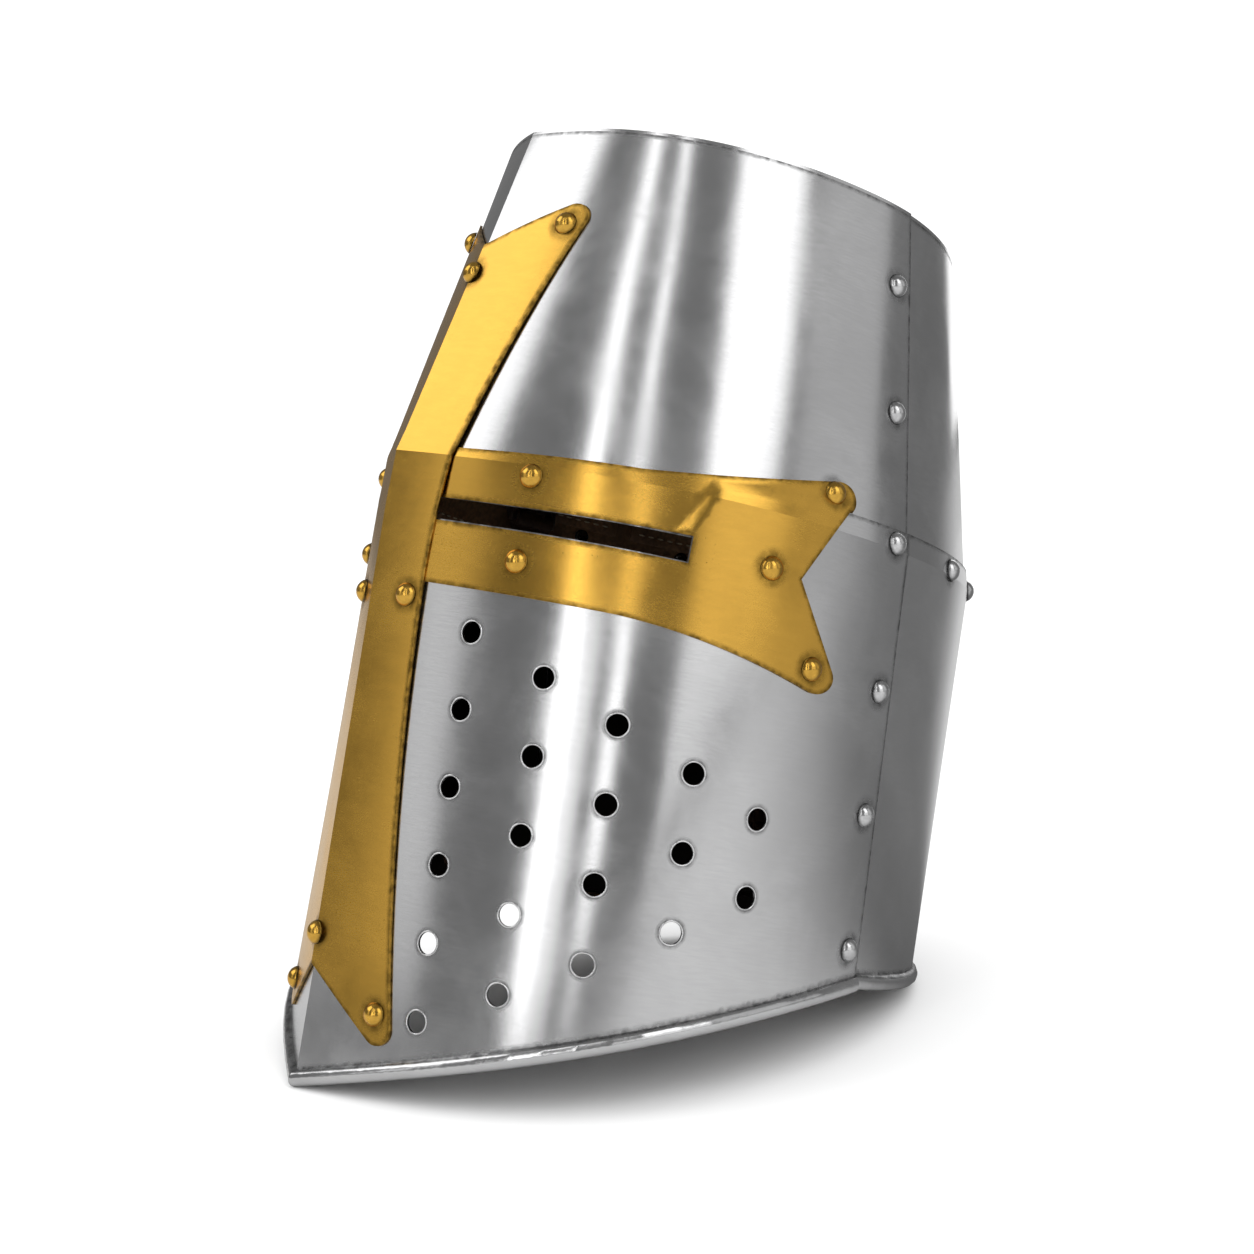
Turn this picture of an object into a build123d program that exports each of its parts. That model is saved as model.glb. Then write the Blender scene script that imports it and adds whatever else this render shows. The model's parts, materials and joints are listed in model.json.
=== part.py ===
"""Great helm: five riveted steel plates, a flat crown, a brass cross and a laced leather liner."""
import os
from math import atan2, cos, degrees, radians, sin

from build123d import *

# The helm's own frame has its brow bend at z = 0 and its keel towards -Y. All sizes are in mm.
# Sheet metal
steel = 1.2
brass = 1.0
overrun = 12.0

# Crown section: keel forward, half width, how far back the widest point lies, back
crown_front = 93.2
crown_half = 84.3
crown_widest = 7.3
crown_back = 101.5
crown_keel_angle = 9.0
# Brow section, where the plates bend
brow_front = 119.0
brow_half = 108.5
brow_widest = 0.0
brow_back = 139.0
brow_keel_angle = 19.0
# Foot section, cut off by the rims
foot_front = 110.9
foot_half = 108.8
foot_widest = -4.8
foot_back = 151.5
foot_keel_angle = 17.6
# Pulls of the section's curves, as shares of the widths and lengths they leave
cheek_pull_share = 0.598
flank_pull_share = 0.580
temple_pull_share = 0.491
nape_pull_share = 0.520

# Heights from the brow bend
crown_height = 131.0
crown_tilt = 1.16
foot_depth = 163.0
flange = 8.0

# Seams between the front and back plates, behind the tips of the cross's arms
upper_seam_behind_tip = 16.3
upper_seam_lean_share = -0.09
lower_seam_behind_tip = 15.8
lower_seam_lean_share = -0.118
seam_gap = 0.2
seam_inset = 8.5
seam_lap = 17.0
tail = 12.0

# Rolled rims
rim_wire_radius = 2.0
front_rim_drop = 199.5
front_rim_rise_share = 0.302
front_rim_flare_share = 0.223
back_rim_drop = 140.1
back_rim_rise_share = -0.072
back_rim_flare_share = -0.15
rim_clearance = 0.4
rim_steps = 20

# Sights
sight_level = -19.7
sight_length = 103.3
sight_inner_height = 7.0
sight_outer_height = 8.8

# Cheek arm of the cross, drawn on the plane that faces it
arm_bearing = 50.0
arm_start = -82.0
arm_length = 168.0
arm_depth = 85.5
arm_corner_radius = 6.0
slot_border = 0.5
arm_plane_share = 0.2
arm_prism_share = 1.4
# Its outline and rivets, as shares of its length from its start and of its depth from the sight
arm_top_shares = ((0, 0.267), (0.488, 0.290), (0.661, 0.333), (0.960, 0.481))
arm_notch_share = (0.851, -0.012)
arm_foot_shares = ((1, -0.519), (0.731, -0.371), (0.488, -0.319), (0, -0.315))
arm_brow_rivet_share = (0.2526, 0.18)
arm_strap_rivet_share = (0.886, 0.378)
arm_low_rivet_shares = ((0.2587, -0.178), (0.7872, 0), (0.9076, -0.365))
arm_low_edge_share = 0.32
# Places of the cheek's edge behind the sight, as shares of the arm's length and the flange
cheek_start_share = 0.25
cheek_end_shares = (0.93, 0.94)

# Upright of the cross
upright_top = 106.3
upright_foot = 218.8
upright_top_notch = 21.8
upright_foot_notch = 28.1
upright_top_half = 44.5
upright_foot_half = 42.5
upright_waist_half = 22.4
upright_waist_level = -42.0
upright_corner_radius = 5.5
# Middles of its bowed sides, as shares of how far they widen and of how high they run
upright_top_bow_shares = (0.31, 0.59)
upright_foot_bow_shares = (0.23, 0.48)
# Its rivets: bearings, then steps in from tips and notches as shares of the corner radius
upright_top_bearing = 20.0
upright_waist_bearing = 7.9
upright_foot_bearing = 17.5
upright_tip_rivet_shares = (2.4, 3.1)
upright_notch_rivet_shares = (2.1, 2.0)
upright_waist_rivet_share = 0.125

# Rivets
rivet_head_radius = 4.5
rivet_head_height = 3.4
rivet_shank_radius = 1.9
rivet_tail_radius = 3.2
rivet_tail_height = 1.0
rivet_clearance = 0.1
# Heights of seam rivets as shares of the crown's height and of the back rim's drop
upper_seam_rivet_shares = (0.76, 0.39)
lower_seam_rivet_shares = (0.3723, 0.6981, 1.0541)
brow_rivet_share = 0.25

# Breaths
breath_radius = 4.0
breath_top = 62.0
breath_pitch = 27.6
breath_step = 11.2
breath_bearings = (23.2, 39.6, 54.5, 69.4, 83.4)
breath_bearing_drift = 0.8
breath_rows = 6

# Liner
band_thickness = 2.5
band_top = 17.0
band_foot = 10.0
petal_thickness = 1.8
petal_foot = 4.5
petal_count = 8
petal_slot = 7.0
petal_top = 92.0
petal_belly_level = 62.0
petal_belly_share = 0.74
lace_ring_radius = 28.0
lace_ring_back = 6.0
lace_radius = 1.5
lace_clearance = 0.3

# Chin straps
strap_width = 18.0
strap_thickness = 2.2
left_strap_length = 112.0
right_strap_length = 150.0
bar_radius = 1.5
bar_clearance = 0.3
eye_clearance = 0.08
bar_standoff = 6.0
bar_drop = 12.0
loop_plate = 1.2
loop_gap = 1.2
loop_plate_height = 11.0
loop_leg = 2.0
strap_hole_radius = 1.6
strap_hole_pitch = 15.0
strap_hole_count = 5
buckle_length = 22.0
buckle_bar = 3.0
buckle_corner_radius = 1.4
tongue_width = 3.0
tongue_thickness = 1.2
keeper_width = 7.0
keeper_thickness = 1.4

front_rim = (front_rim_drop, front_rim_rise_share, front_rim_flare_share)
back_rim = (back_rim_drop, back_rim_rise_share, back_rim_flare_share)
crown_section = (crown_front, crown_half, crown_widest, crown_back, crown_keel_angle)
brow_section = (brow_front, brow_half, brow_widest, brow_back, brow_keel_angle)
foot_section = (foot_front, foot_half, foot_widest, foot_back, foot_keel_angle)
rim_radius = rim_wire_radius + steel
hole_radius = rivet_shank_radius + rivet_clearance
petal_inner = -band_thickness - petal_thickness
strap_rivet_level = sight_level + arm_depth * arm_strap_rivet_share[1]
arm_angle = radians(arm_bearing)
arm_tip_back = (arm_start + arm_length - brow_half * cos(arm_angle)) / sin(arm_angle)
upper_seam_back = arm_tip_back + upper_seam_behind_tip
lower_seam_back = arm_tip_back + lower_seam_behind_tip
sides = (1, -1)
pieces = []


# Section geometry

def poles(section, d):
    """Control points of a section's right half, d outside its inner face, from keel to back."""
    front, half, widest, back, keel_angle = section
    front = front + d / cos(radians(keel_angle))
    half = half + d
    back = back + d
    pull = cheek_pull_share * half
    keel_pull = Vector(pull * cos(radians(keel_angle)), pull * sin(radians(keel_angle)))
    return [
        Vector(0, -front),
        Vector(0, -front) + keel_pull,
        Vector(half, widest - flank_pull_share * (widest + front)),
        Vector(half, widest),
        Vector(half, widest + temple_pull_share * (back - widest)),
        Vector(nape_pull_share * half, back),
        Vector(0, back),
    ]


def level_poles(z, d):
    """Control points at height z, on the straight lines from the brow to the crown or the foot."""
    far, reach = (crown_section, crown_height) if z > 0 else (foot_section, -foot_depth)
    return [a + (b - a) * (z / reach) for a, b in zip(poles(brow_section, d), poles(far, d))]


def ring(p, z):
    """Closed ring of edges at height z: the half section's two curves and their mirror images."""
    right = [Vector(q.X, q.Y, z) for q in p]
    left = [Vector(-q.X, q.Y, z) for q in reversed(p)]
    return [Edge.make_bezier(*q) for q in (right[:4], right[3:], left[:4], left[3:])]


def ruled_solid(rings):
    """Solid with straight-ruled sides from ring to ring and a flat end at the first and the last."""
    sides_of_it = [
        Face.make_surface_from_curves(a, b)
        for upper, lower in zip(rings, rings[1:])
        for a, b in zip(upper, lower)
    ]
    ends = [Face(Wire(rings[0])), Face(Wire(rings[-1]))]
    return Solid(Shell(sides_of_it + ends))


def hull(levels):
    """Solid helm shape through (height, offset from the inner skin) levels, top first."""
    return ruled_solid([ring(level_poles(z, d), z) for z, d in levels])


def skin(levels, thickness):
    """Plate of a given thickness through (height, offset of its inner face) levels, top first."""
    with BuildPart() as body:
        add(hull([(z, d + thickness) for z, d in levels]))
        add(hull(levels), mode=Mode.SUBTRACT)
    return body.part


def curve_point(p, s):
    """Point of the half section, s from 0 at the keel through 1 at the side to 2 at the back."""
    a, b, c, e = p[:4] if s < 1 else p[3:]
    t = s if s < 1 else s - 1
    return a * (1 - t) ** 3 + b * (3 * t * (1 - t) ** 2) + c * (3 * t * t * (1 - t)) + e * t ** 3


def skin_point(s, z, d):
    """Point of the skin at section place s and height z."""
    p = curve_point(level_poles(z, d), s)
    return Vector(p.X, p.Y, z)


def place_at(bearing, z, d):
    """Section place whose bearing from the keel, in degrees, is the one given."""
    low, high = 0, 2
    for _ in range(40):
        middle = (low + high) / 2
        p = skin_point(middle, z, d)
        low, high = (middle, high) if degrees(atan2(p.X, -p.Y)) < bearing else (low, middle)
    return low


def seat(bearing, z, d, side=1):
    """Plane on the skin at a bearing and height, facing outwards, on the left (1) or right (-1)."""
    s = place_at(bearing, z, d)
    step = 0.001
    here = skin_point(s, z, d)
    along = skin_point(s + step, z, d) - skin_point(s - step, z, d) if bearing else Vector(1, 0, 0)
    rise = skin_point(s, z + step * crown_height, d) - here
    normal = along.cross(rise)
    return Plane(
        origin=(side * here.X, here.Y, here.Z),
        x_dir=(side * along.X, along.Y, along.Z) if side > 0 else (-along.X, along.Y, along.Z),
        z_dir=(side * normal.X, normal.Y, normal.Z),
    )


def seam_bearing(z, seam_back, lean_share):
    """Bearing of a seam's rivet row at height z."""
    y = seam_back + lean_share * z - seam_inset
    low, high = 0, 2
    for _ in range(40):
        middle = (low + high) / 2
        low, high = (middle, high) if skin_point(middle, z, steel).Y < y else (low, middle)
    p = skin_point(low, z, steel)
    return degrees(atan2(p.X, -p.Y))


def bearing_on_arm(length_share, z, d):
    """Bearing of the skin point that faces a share of the arm's length."""
    reach = arm_start + arm_length * length_share
    low, high = 0, 2
    for _ in range(40):
        middle = (low + high) / 2
        p = skin_point(middle, z, d)
        low, high = (middle, high) if p.X * cos(arm_angle) + p.Y * sin(arm_angle) < reach else (low, middle)
    p = skin_point(low, z, d)
    return degrees(atan2(p.X, -p.Y))


# Cutting shapes

def behind(seam_back, lean_share, shift=0):
    """Plane of a seam, facing backwards, moved back by shift."""
    return Plane(origin=(0, seam_back + shift, 0), x_dir=(1, 0, 0), z_dir=(0, 1, -lean_share))


def rim_plane(rim, lift):
    """Plane of one rim's left half, facing up, lifted by a height."""
    drop, rise_share, flare_share = rim
    return Plane(
        origin=(0, 0, -drop + lift),
        x_dir=(1, 0, flare_share),
        z_dir=(-flare_share, -rise_share, 1),
    )


def arm_plane(side):
    """Upright plane near the helm's axis that faces one cheek arm."""
    facing = (side * sin(arm_angle), -cos(arm_angle), 0)
    across = (cos(arm_angle), side * sin(arm_angle), 0)
    return Plane(origin=(0, 0, 0), x_dir=across, z_dir=facing).offset(brow_half * arm_plane_share)


def arm_prism(side, points):
    """Prism through one cheek, square to the arm's plane, with the outline given there."""
    with BuildPart() as prism:
        with BuildSketch(arm_plane(side)):
            with BuildLine():
                Polyline(*[(side * x, z) for x, z in points], close=True)
            make_face()
        extrude(amount=brow_half * arm_prism_share)
    return prism.part


def sight_points(border=0):
    """Outline of a sight on its arm's plane: it grows a little taller towards its outer end."""
    inner = sight_inner_height / 2 + border
    outer = sight_outer_height / 2 + border
    start = arm_start - overrun
    end = arm_start + sight_length + border
    return [
        (start, sight_level - inner),
        (end, sight_level - outer),
        (end, sight_level + outer),
        (start, sight_level + inner),
    ]


def cheek_edge(lift=0):
    """Top edge of the lower front plate, from the sight's end up and back to the flange's height."""
    start = arm_start + sight_length - lift
    return [
        (start, sight_level + sight_outer_height / 2 + lift),
        (start + flange, flange * cheek_start_share + lift),
        (arm_start + arm_length * cheek_end_shares[0], flange * cheek_end_shares[1] + lift),
    ]


def finish(piece, label):
    """Names a finished piece and keeps it for setting down and writing out."""
    piece.part.label = label
    pieces.append(piece)


# Rivets

def rivet(grip):
    """Round-headed rivet with its head just off z = 0 and its burred tail below the grip."""
    with BuildPart() as body:
        with BuildSketch(Plane.XZ):
            with BuildLine():
                cap = (rivet_head_radius ** 2 + rivet_head_height ** 2) / (2 * rivet_head_height)
                lift = rivet_clearance / 2
                RadiusArc((0, rivet_head_height + lift), (rivet_head_radius, lift), cap)
                Polyline(
                    (rivet_head_radius, lift),
                    (rivet_shank_radius, lift),
                    (rivet_shank_radius, -grip),
                    (rivet_tail_radius, -grip),
                    (rivet_tail_radius, -grip - rivet_tail_height),
                    (0, -grip - rivet_tail_height),
                    (0, rivet_head_height + lift),
                )
            make_face()
        revolve(axis=Axis.Z)
    return body.part


def grip_of(bearing, z, inner, outer):
    """Depth from a head's seat to the inner face, where that face comes deepest under the tail."""
    at = seat(bearing, z, outer)
    s = place_at(bearing, z, outer)
    step = 0.01
    stride = step * rivet_tail_radius / (skin_point(s + step, z, outer) - at.origin).length
    around = [(i * stride, j * rivet_tail_radius) for i in (-1, 0, 1) for j in (-1, 0, 1)]
    return max(
        (at.origin - skin_point(abs(s + along), z + rise, inner)).dot(at.z_dir)
        for along, rise in around
    ) + rivet_clearance


def drill(seats, radius=hole_radius):
    """Holes along the seats' normals, through one wall."""
    with Locations(*[at.location for at in seats]):
        Cylinder(radius, 2 * overrun, mode=Mode.SUBTRACT)


def rivet_group(label, places):
    """One node of rivets, each place a (bearing, height, inner offset, outer offset, side)."""
    with BuildPart() as group:
        for bearing, z, inner, outer, side in places:
            with Locations(seat(bearing, z, outer, side).location):
                add(rivet(grip_of(bearing, z, inner, outer)))
    finish(group, label)


def seats_of(places):
    """Seats of rivet places."""
    return [seat(bearing, z, outer, side) for bearing, z, inner, outer, side in places]


def upright_offset(z):
    """Offset of the upright's inner face: it rises over the arms' ends and lies down at its tips."""
    top, foot = 2 * steel, 3 * steel
    raised = 3 * steel + brass
    levels = upright_levels
    for (z1, d1), (z2, d2) in zip(levels, levels[1:]):
        if z1 >= z >= z2:
            return d2 + (d1 - d2) * (z - z2) / (z1 - z2)
    return top if z > 0 else foot if z < -upright_foot else raised


over_arms = 3 * steel + brass
arm_foot_level = sight_level - arm_depth * arm_low_edge_share
upright_levels = [
    (upright_top + overrun, 2 * steel),
    (flange, 3 * steel),
    (0, 3 * steel + brass / 3),
    (sight_level, over_arms),
    (arm_foot_level, over_arms),
    (-upright_foot - overrun, 3 * steel),
]


def upright_places():
    """The upright's eight rivets: two at each tip, one on the keel by each notch, two at the waist."""
    tip_step, foot_step = (upright_corner_radius * share for share in upright_tip_rivet_shares)
    top_notch_step, foot_notch_step = (
        upright_corner_radius * share for share in upright_notch_rivet_shares)
    ends = [
        (upright_top_bearing, upright_top - tip_step, 1),
        (upright_waist_bearing, upright_waist_level - arm_depth * upright_waist_rivet_share, 2),
        (upright_foot_bearing, -upright_foot + foot_step, 2),
    ]
    keel = [
        (0, upright_top - upright_top_notch - top_notch_step, 1),
        (0, -upright_foot + upright_foot_notch + foot_notch_step, 2),
    ]
    places = [(b, z, layer, side) for b, z, layer in ends for side in sides]
    places += [(b, z, layer, 1) for b, z, layer in keel]
    return [(b, z, layer * steel, upright_offset(z) + brass, side) for b, z, layer, side in places]


def arm_places(side):
    """One arm's five rivets: two through the upper plate and the liner, three through the lower."""
    top, low = 2 * steel + brass, 3 * steel + brass
    held = (
        (arm_brow_rivet_share, -band_thickness, top),
        (arm_strap_rivet_share, petal_inner - loop_gap - loop_plate, top),
    ) + tuple((share, 2 * steel, low) for share in arm_low_rivet_shares)
    places = []
    for (length_share, depth_share), inner, outer in held:
        z = sight_level + arm_depth * depth_share
        places.append((bearing_on_arm(length_share, z, outer), z, inner, outer, side))
    return places


def upper_seam_places(side):
    """Two rivets where the upper front plate laps the upper back plate."""
    levels = [crown_height * share for share in upper_seam_rivet_shares]
    return [
        (seam_bearing(z, upper_seam_back, upper_seam_lean_share), z, 0, 2 * steel, side)
        for z in levels
    ]


def lower_seam_places(side):
    """Three rivets where the lower front plate laps the lower back plate."""
    levels = [-back_rim_drop * share for share in lower_seam_rivet_shares]
    return [
        (seam_bearing(z, lower_seam_back, lower_seam_lean_share), z, steel, 3 * steel, side)
        for z in levels
    ]


def brow_places():
    """Seven rivets round the brow, each through the liner band."""
    level = flange * brow_rivet_share
    corner = seam_bearing(level, lower_seam_back, lower_seam_lean_share)
    places = [(corner, level, -band_thickness, 3 * steel, side) for side in sides]
    for share in (1 / 3, 2 / 3):
        bearing = corner + (180 - corner) * share
        places += [(bearing, level, -band_thickness, 2 * steel, side) for side in sides]
    return places + [(179.9, level, -band_thickness, 2 * steel, 1)]


def breath_seats(side):
    """One cheek's breaths: five columns, each a hole shorter and half a row lower than the last."""
    seats = []
    for column, bearing in enumerate(breath_bearings):
        for row in range(breath_rows - column):
            z = -breath_top - column * breath_step - row * breath_pitch
            seats.append(seat(bearing + row * breath_bearing_drift, z, 3 * steel, side))
    return seats


# Rims

def rim_point(rim, s, d):
    """Point where the skin's straight line at place s meets a rim's plane."""
    drop, rise_share, flare_share = rim
    a = curve_point(poles(brow_section, d), s)
    b = curve_point(poles(foot_section, d), s)
    from_brow = drop - rise_share * a.Y - flare_share * a.X
    from_foot = drop - rise_share * b.Y - flare_share * b.X
    t = from_brow / (foot_depth + from_brow - from_foot)
    return Vector(a.X + (b.X - a.X) * t, a.Y + (b.Y - a.Y) * t, -foot_depth * t)


def rim_route(rim, places, d):
    """Points along a rim's left half, evenly spread between two section places."""
    first, last = places
    return [
        rim_point(rim, first + (last - first) * i / rim_steps, d)
        for i in range(rim_steps + 1)
    ]


def rim_bar(rim, places, d, radius):
    """Round bar along a rim's left half, starting short of the middle plane, in straight steps."""
    route = rim_route(rim, places, d)
    ahead = (route[1] - route[0]).normalized()
    route = [route[0] - ahead * 3 * rim_radius] + route
    ways = [(b - a).normalized() for a, b in zip(route, route[1:])]
    ways = [ways[0]] + [a + b for a, b in zip(ways, ways[1:])] + [ways[-1]]
    with BuildPart() as bar:
        for point, way in zip(route, ways):
            with BuildSketch(Plane(origin=point, x_dir=rim_plane(rim, 0).z_dir, z_dir=way)):
                Circle(radius)
        loft(ruled=True)
    return bar.part


def rim_tube(rim, places, d, keep, outer, inner=0):
    """Tube along a rim, mitred on the middle plane and cut square at the lower seams."""
    with BuildPart() as tube:
        add(rim_bar(rim, places, d, outer))
        if inner:
            add(rim_bar(rim, places, d, inner), mode=Mode.SUBTRACT)
        split(bisect_by=Plane.YZ, keep=Keep.TOP)
        shift = seam_gap if keep == Keep.TOP else 0
        split(bisect_by=behind(lower_seam_back, lower_seam_lean_share, shift), keep=keep)
        mirror(about=Plane.YZ)
    return tube.part


# Plates

high = crown_height + 3 * overrun
low = -front_rim_drop - 5 * overrun
crown_plane = Plane(origin=(0, 0, crown_height), x_dir=(1, 0, 0),
                    z_dir=(0, sin(radians(crown_tilt)), cos(radians(crown_tilt))))
upper_seam = behind(upper_seam_back, upper_seam_lean_share)
lower_seam = behind(lower_seam_back, lower_seam_lean_share)
strap_bearing = bearing_on_arm(arm_strap_rivet_share[0], strap_rivet_level, 2 * steel + brass)
sight_top = sight_level + sight_outer_height / 2

both_arm_places = arm_places(1) + arm_places(-1)
liner_arm_places = [place for place in both_arm_places if place[2] < 0]
low_arm_places = [place for place in both_arm_places if place[2] > 0]
tall_upright_places = [place for place in upright_places() if place[1] > 0]
low_upright_places = [place for place in upright_places() if place[1] < 0]
upper_seam_all = upper_seam_places(1) + upper_seam_places(-1)
lower_seam_all = lower_seam_places(1) + lower_seam_places(-1)
brow_corner_places = brow_places()[:2]
brow_rear_places = brow_places()[2:]

with BuildPart() as upper_back_plate:
    add(skin([(high, 0), (0, 0), (-tail, 0)], steel))
    split(bisect_by=crown_plane.offset(-steel), keep=Keep.BOTTOM)
    split(bisect_by=behind(upper_seam_back, upper_seam_lean_share, -seam_lap), keep=Keep.TOP)
    drill(seats_of(upper_seam_all + brow_places()))
finish(upper_back_plate, "upper_back_plate")

with BuildPart() as upper_front_plate:
    add(skin([(high, steel), (0, steel), (sight_top, steel)], steel))
    split(bisect_by=crown_plane.offset(-steel), keep=Keep.BOTTOM)
    split(bisect_by=upper_seam, keep=Keep.BOTTOM)
    drill(seats_of(upper_seam_all + brow_corner_places + liner_arm_places + tall_upright_places))
finish(upper_front_plate, "upper_front_plate")

with BuildPart() as crown_plate:
    add(hull([(high, 2 * steel), (0, 2 * steel)]))
    split(bisect_by=upper_seam, keep=Keep.BOTTOM)
    add(hull([(high, steel), (0, steel)]))
    split(bisect_by=crown_plane, keep=Keep.BOTTOM)
    split(bisect_by=crown_plane.offset(-steel), keep=Keep.TOP)
finish(crown_plate, "crown_plate")

wall_end = rim_wire_radius + steel / 2
front_run = (0, 1.45)
back_run = (2, 0.85)

with BuildPart() as lower_front_plate:
    add(skin([(flange, 2 * steel), (0, 2 * steel), (low, 2 * steel)], steel))
    split(bisect_by=Plane.YZ, keep=Keep.TOP)
    split(bisect_by=lower_seam, keep=Keep.BOTTOM)
    split(bisect_by=rim_plane(front_rim, wall_end), keep=Keep.TOP)
    edge = cheek_edge()
    above = [(arm_start, sight_points()[0][1]), (edge[0][0], sight_points()[1][1])]
    above += edge + [(arm_length, flange), (arm_length, high), (arm_start, high)]
    add(arm_prism(1, above), mode=Mode.SUBTRACT)
    mirror(about=Plane.YZ)
    add(rim_tube(front_rim, front_run, 2.5 * steel, Keep.BOTTOM, rim_radius, rim_wire_radius))
    drill(seats_of(lower_seam_all + brow_corner_places + low_arm_places + low_upright_places))
    drill(breath_seats(1) + breath_seats(-1), breath_radius)
finish(lower_front_plate, "lower_front_plate")

with BuildPart() as lap_foot:
    with BuildSketch(rim_plane(front_rim, rim_radius + 2 * rim_clearance)):
        Rectangle(4 * brow_half, 4 * brow_half)
    extrude(amount=-foot_depth)
    split(bisect_by=lower_seam, keep=Keep.BOTTOM)

with BuildPart() as lower_back_plate:
    add(skin([(flange, steel), (0, steel), (low, steel)], steel))
    split(bisect_by=Plane.YZ, keep=Keep.TOP)
    split(bisect_by=behind(lower_seam_back, lower_seam_lean_share, -seam_lap), keep=Keep.TOP)
    split(bisect_by=rim_plane(back_rim, wall_end), keep=Keep.TOP)
    add(lap_foot.part, mode=Mode.SUBTRACT)
    with BuildSketch(Plane.YZ):
        with BuildLine():
            notch_back = upper_seam_back + seam_gap
            Polyline(
                (-notch_back, high),
                (-notch_back, sight_top - seam_gap),
                (notch_back + upper_seam_lean_share * sight_top, sight_top - seam_gap),
                (notch_back + upper_seam_lean_share * high, high),
                close=True,
            )
        make_face()
    extrude(amount=2 * brow_half, mode=Mode.SUBTRACT)
    mirror(about=Plane.YZ)
    add(rim_tube(back_rim, back_run, 1.5 * steel, Keep.TOP, rim_radius, rim_wire_radius))
    drill(seats_of(lower_seam_all + brow_rear_places))
finish(lower_back_plate, "lower_back_plate")

with BuildPart() as front_rim_wire:
    add(rim_tube(front_rim, front_run, 2.5 * steel, Keep.BOTTOM, rim_wire_radius))
finish(front_rim_wire, "front_rim_wire")

with BuildPart() as back_rim_wire:
    add(rim_tube(back_rim, back_run, 1.5 * steel, Keep.TOP, rim_wire_radius))
finish(back_rim_wire, "back_rim_wire")


# Brass cross

def arm_outline(side):
    """The arm's swallow-tailed outline as a thick prism."""
    at = lambda share: (
        side * (arm_start + arm_length * share[0]), sight_level + arm_depth * share[1])
    heel, waist_top, top_bow, top_tip = (at(share) for share in arm_top_shares)
    foot_tip, foot_bow, waist_foot, toe = (at(share) for share in arm_foot_shares)
    notch = at(arm_notch_share)
    with BuildPart() as prism:
        with BuildSketch(arm_plane(side)) as shape:
            with BuildLine():
                Polyline(toe, heel, waist_top)
                ThreePointArc(waist_top, top_bow, top_tip)
                Polyline(top_tip, notch, foot_tip)
                ThreePointArc(foot_tip, foot_bow, waist_foot)
                Line(waist_foot, toe)
            make_face()
            tips = [shape.vertices().sort_by_distance(tip)[0] for tip in (top_tip, foot_tip)]
            fillet(tips, arm_corner_radius)
        extrude(amount=brow_half * arm_prism_share)
    return prism.part


def cross_arm(side):
    """Arm of sheet brass: its upper bar lies on the upper plate, the rest on the lower plate."""
    top, foot = arm_depth, low / 2
    edge = cheek_edge(seam_gap)
    riser = cheek_edge(seam_gap + brass)
    above = [(arm_start, sight_top)] + edge + [(arm_length, edge[2][1]), (arm_length, high)]
    above += [(arm_start, high)]
    below = [(arm_start, foot), (arm_length, foot), (arm_length, riser[2][1])]
    below += riser[::-1] + [(riser[0][0], sight_level), (arm_start, sight_level)]
    step = edge + [(arm_length, edge[2][1]), (arm_length, riser[2][1])] + riser[::-1]
    with BuildPart() as arm:
        for inner, outer, region in (
            (2 * steel, 2 * steel + brass, above),
            (3 * steel, 3 * steel + brass, below),
            (2 * steel, 3 * steel + brass, step),
        ):
            with BuildPart(mode=Mode.PRIVATE) as layer:
                add(skin([(top, inner), (0, inner), (foot, inner)], outer - inner))
                add(arm_prism(side, region), mode=Mode.INTERSECT)
            add(layer.part)
        add(arm_outline(side), mode=Mode.INTERSECT)
        add(arm_prism(side, sight_points(slot_border)), mode=Mode.SUBTRACT)
        drill(seats_of(arm_places(side)))
    return arm


for side, hand in zip(sides, ("left", "right")):
    finish(cross_arm(side), f"{hand}_cross_arm")

with BuildPart() as cross_upright:
    add(skin(upright_levels, brass))
    with BuildPart(mode=Mode.PRIVATE) as upright_prism:
        with BuildSketch(Plane.XZ) as upright_shape:
            with BuildLine():
                across, up = upright_top_bow_shares
                top_bow = (upright_waist_half + (upright_top_half - upright_waist_half) * across,
                           (upright_top + upright_waist_level) * up)
                across, up = upright_foot_bow_shares
                foot_bow = (upright_waist_half + (upright_foot_half - upright_waist_half) * across,
                            (upright_waist_level - upright_foot) * up)
                waist = (upright_waist_half, upright_waist_level)
                Line((0, upright_top - upright_top_notch), (upright_top_half, upright_top))
                ThreePointArc((upright_top_half, upright_top), top_bow, waist)
                ThreePointArc(waist, foot_bow, (upright_foot_half, -upright_foot))
                Line((upright_foot_half, -upright_foot), (0, -upright_foot + upright_foot_notch))
                mirror(about=Plane.YZ)
            make_face()
            fillet(upright_shape.vertices().filter_by(
                lambda v: abs(v.X) > upright_foot_half * 0.99), upright_corner_radius)
        extrude(amount=2 * brow_back)
    add(upright_prism.part, mode=Mode.INTERSECT)
    drill(seats_of(upright_places()))
finish(cross_upright, "cross_upright")


# Rivet groups

rivet_group("upright_rivets", upright_places())
for side, hand in zip(sides, ("left", "right")):
    rivet_group(f"{hand}_arm_rivets", arm_places(side))
    rivet_group(f"{hand}_upper_seam_rivets", upper_seam_places(side))
    rivet_group(f"{hand}_lower_seam_rivets", lower_seam_places(side))
rivet_group("brow_rivets", brow_places())


# Liner

lace_section = (lace_ring_radius, lace_ring_radius, 0, lace_ring_radius, 0)

with BuildPart() as liner_band:
    band_inner = -band_thickness
    add(skin([(band_top, band_inner), (0, band_inner), (-band_foot, band_inner)], band_thickness))
    drill(seats_of(brow_places() + liner_arm_places))
finish(liner_band, "liner_band")


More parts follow.
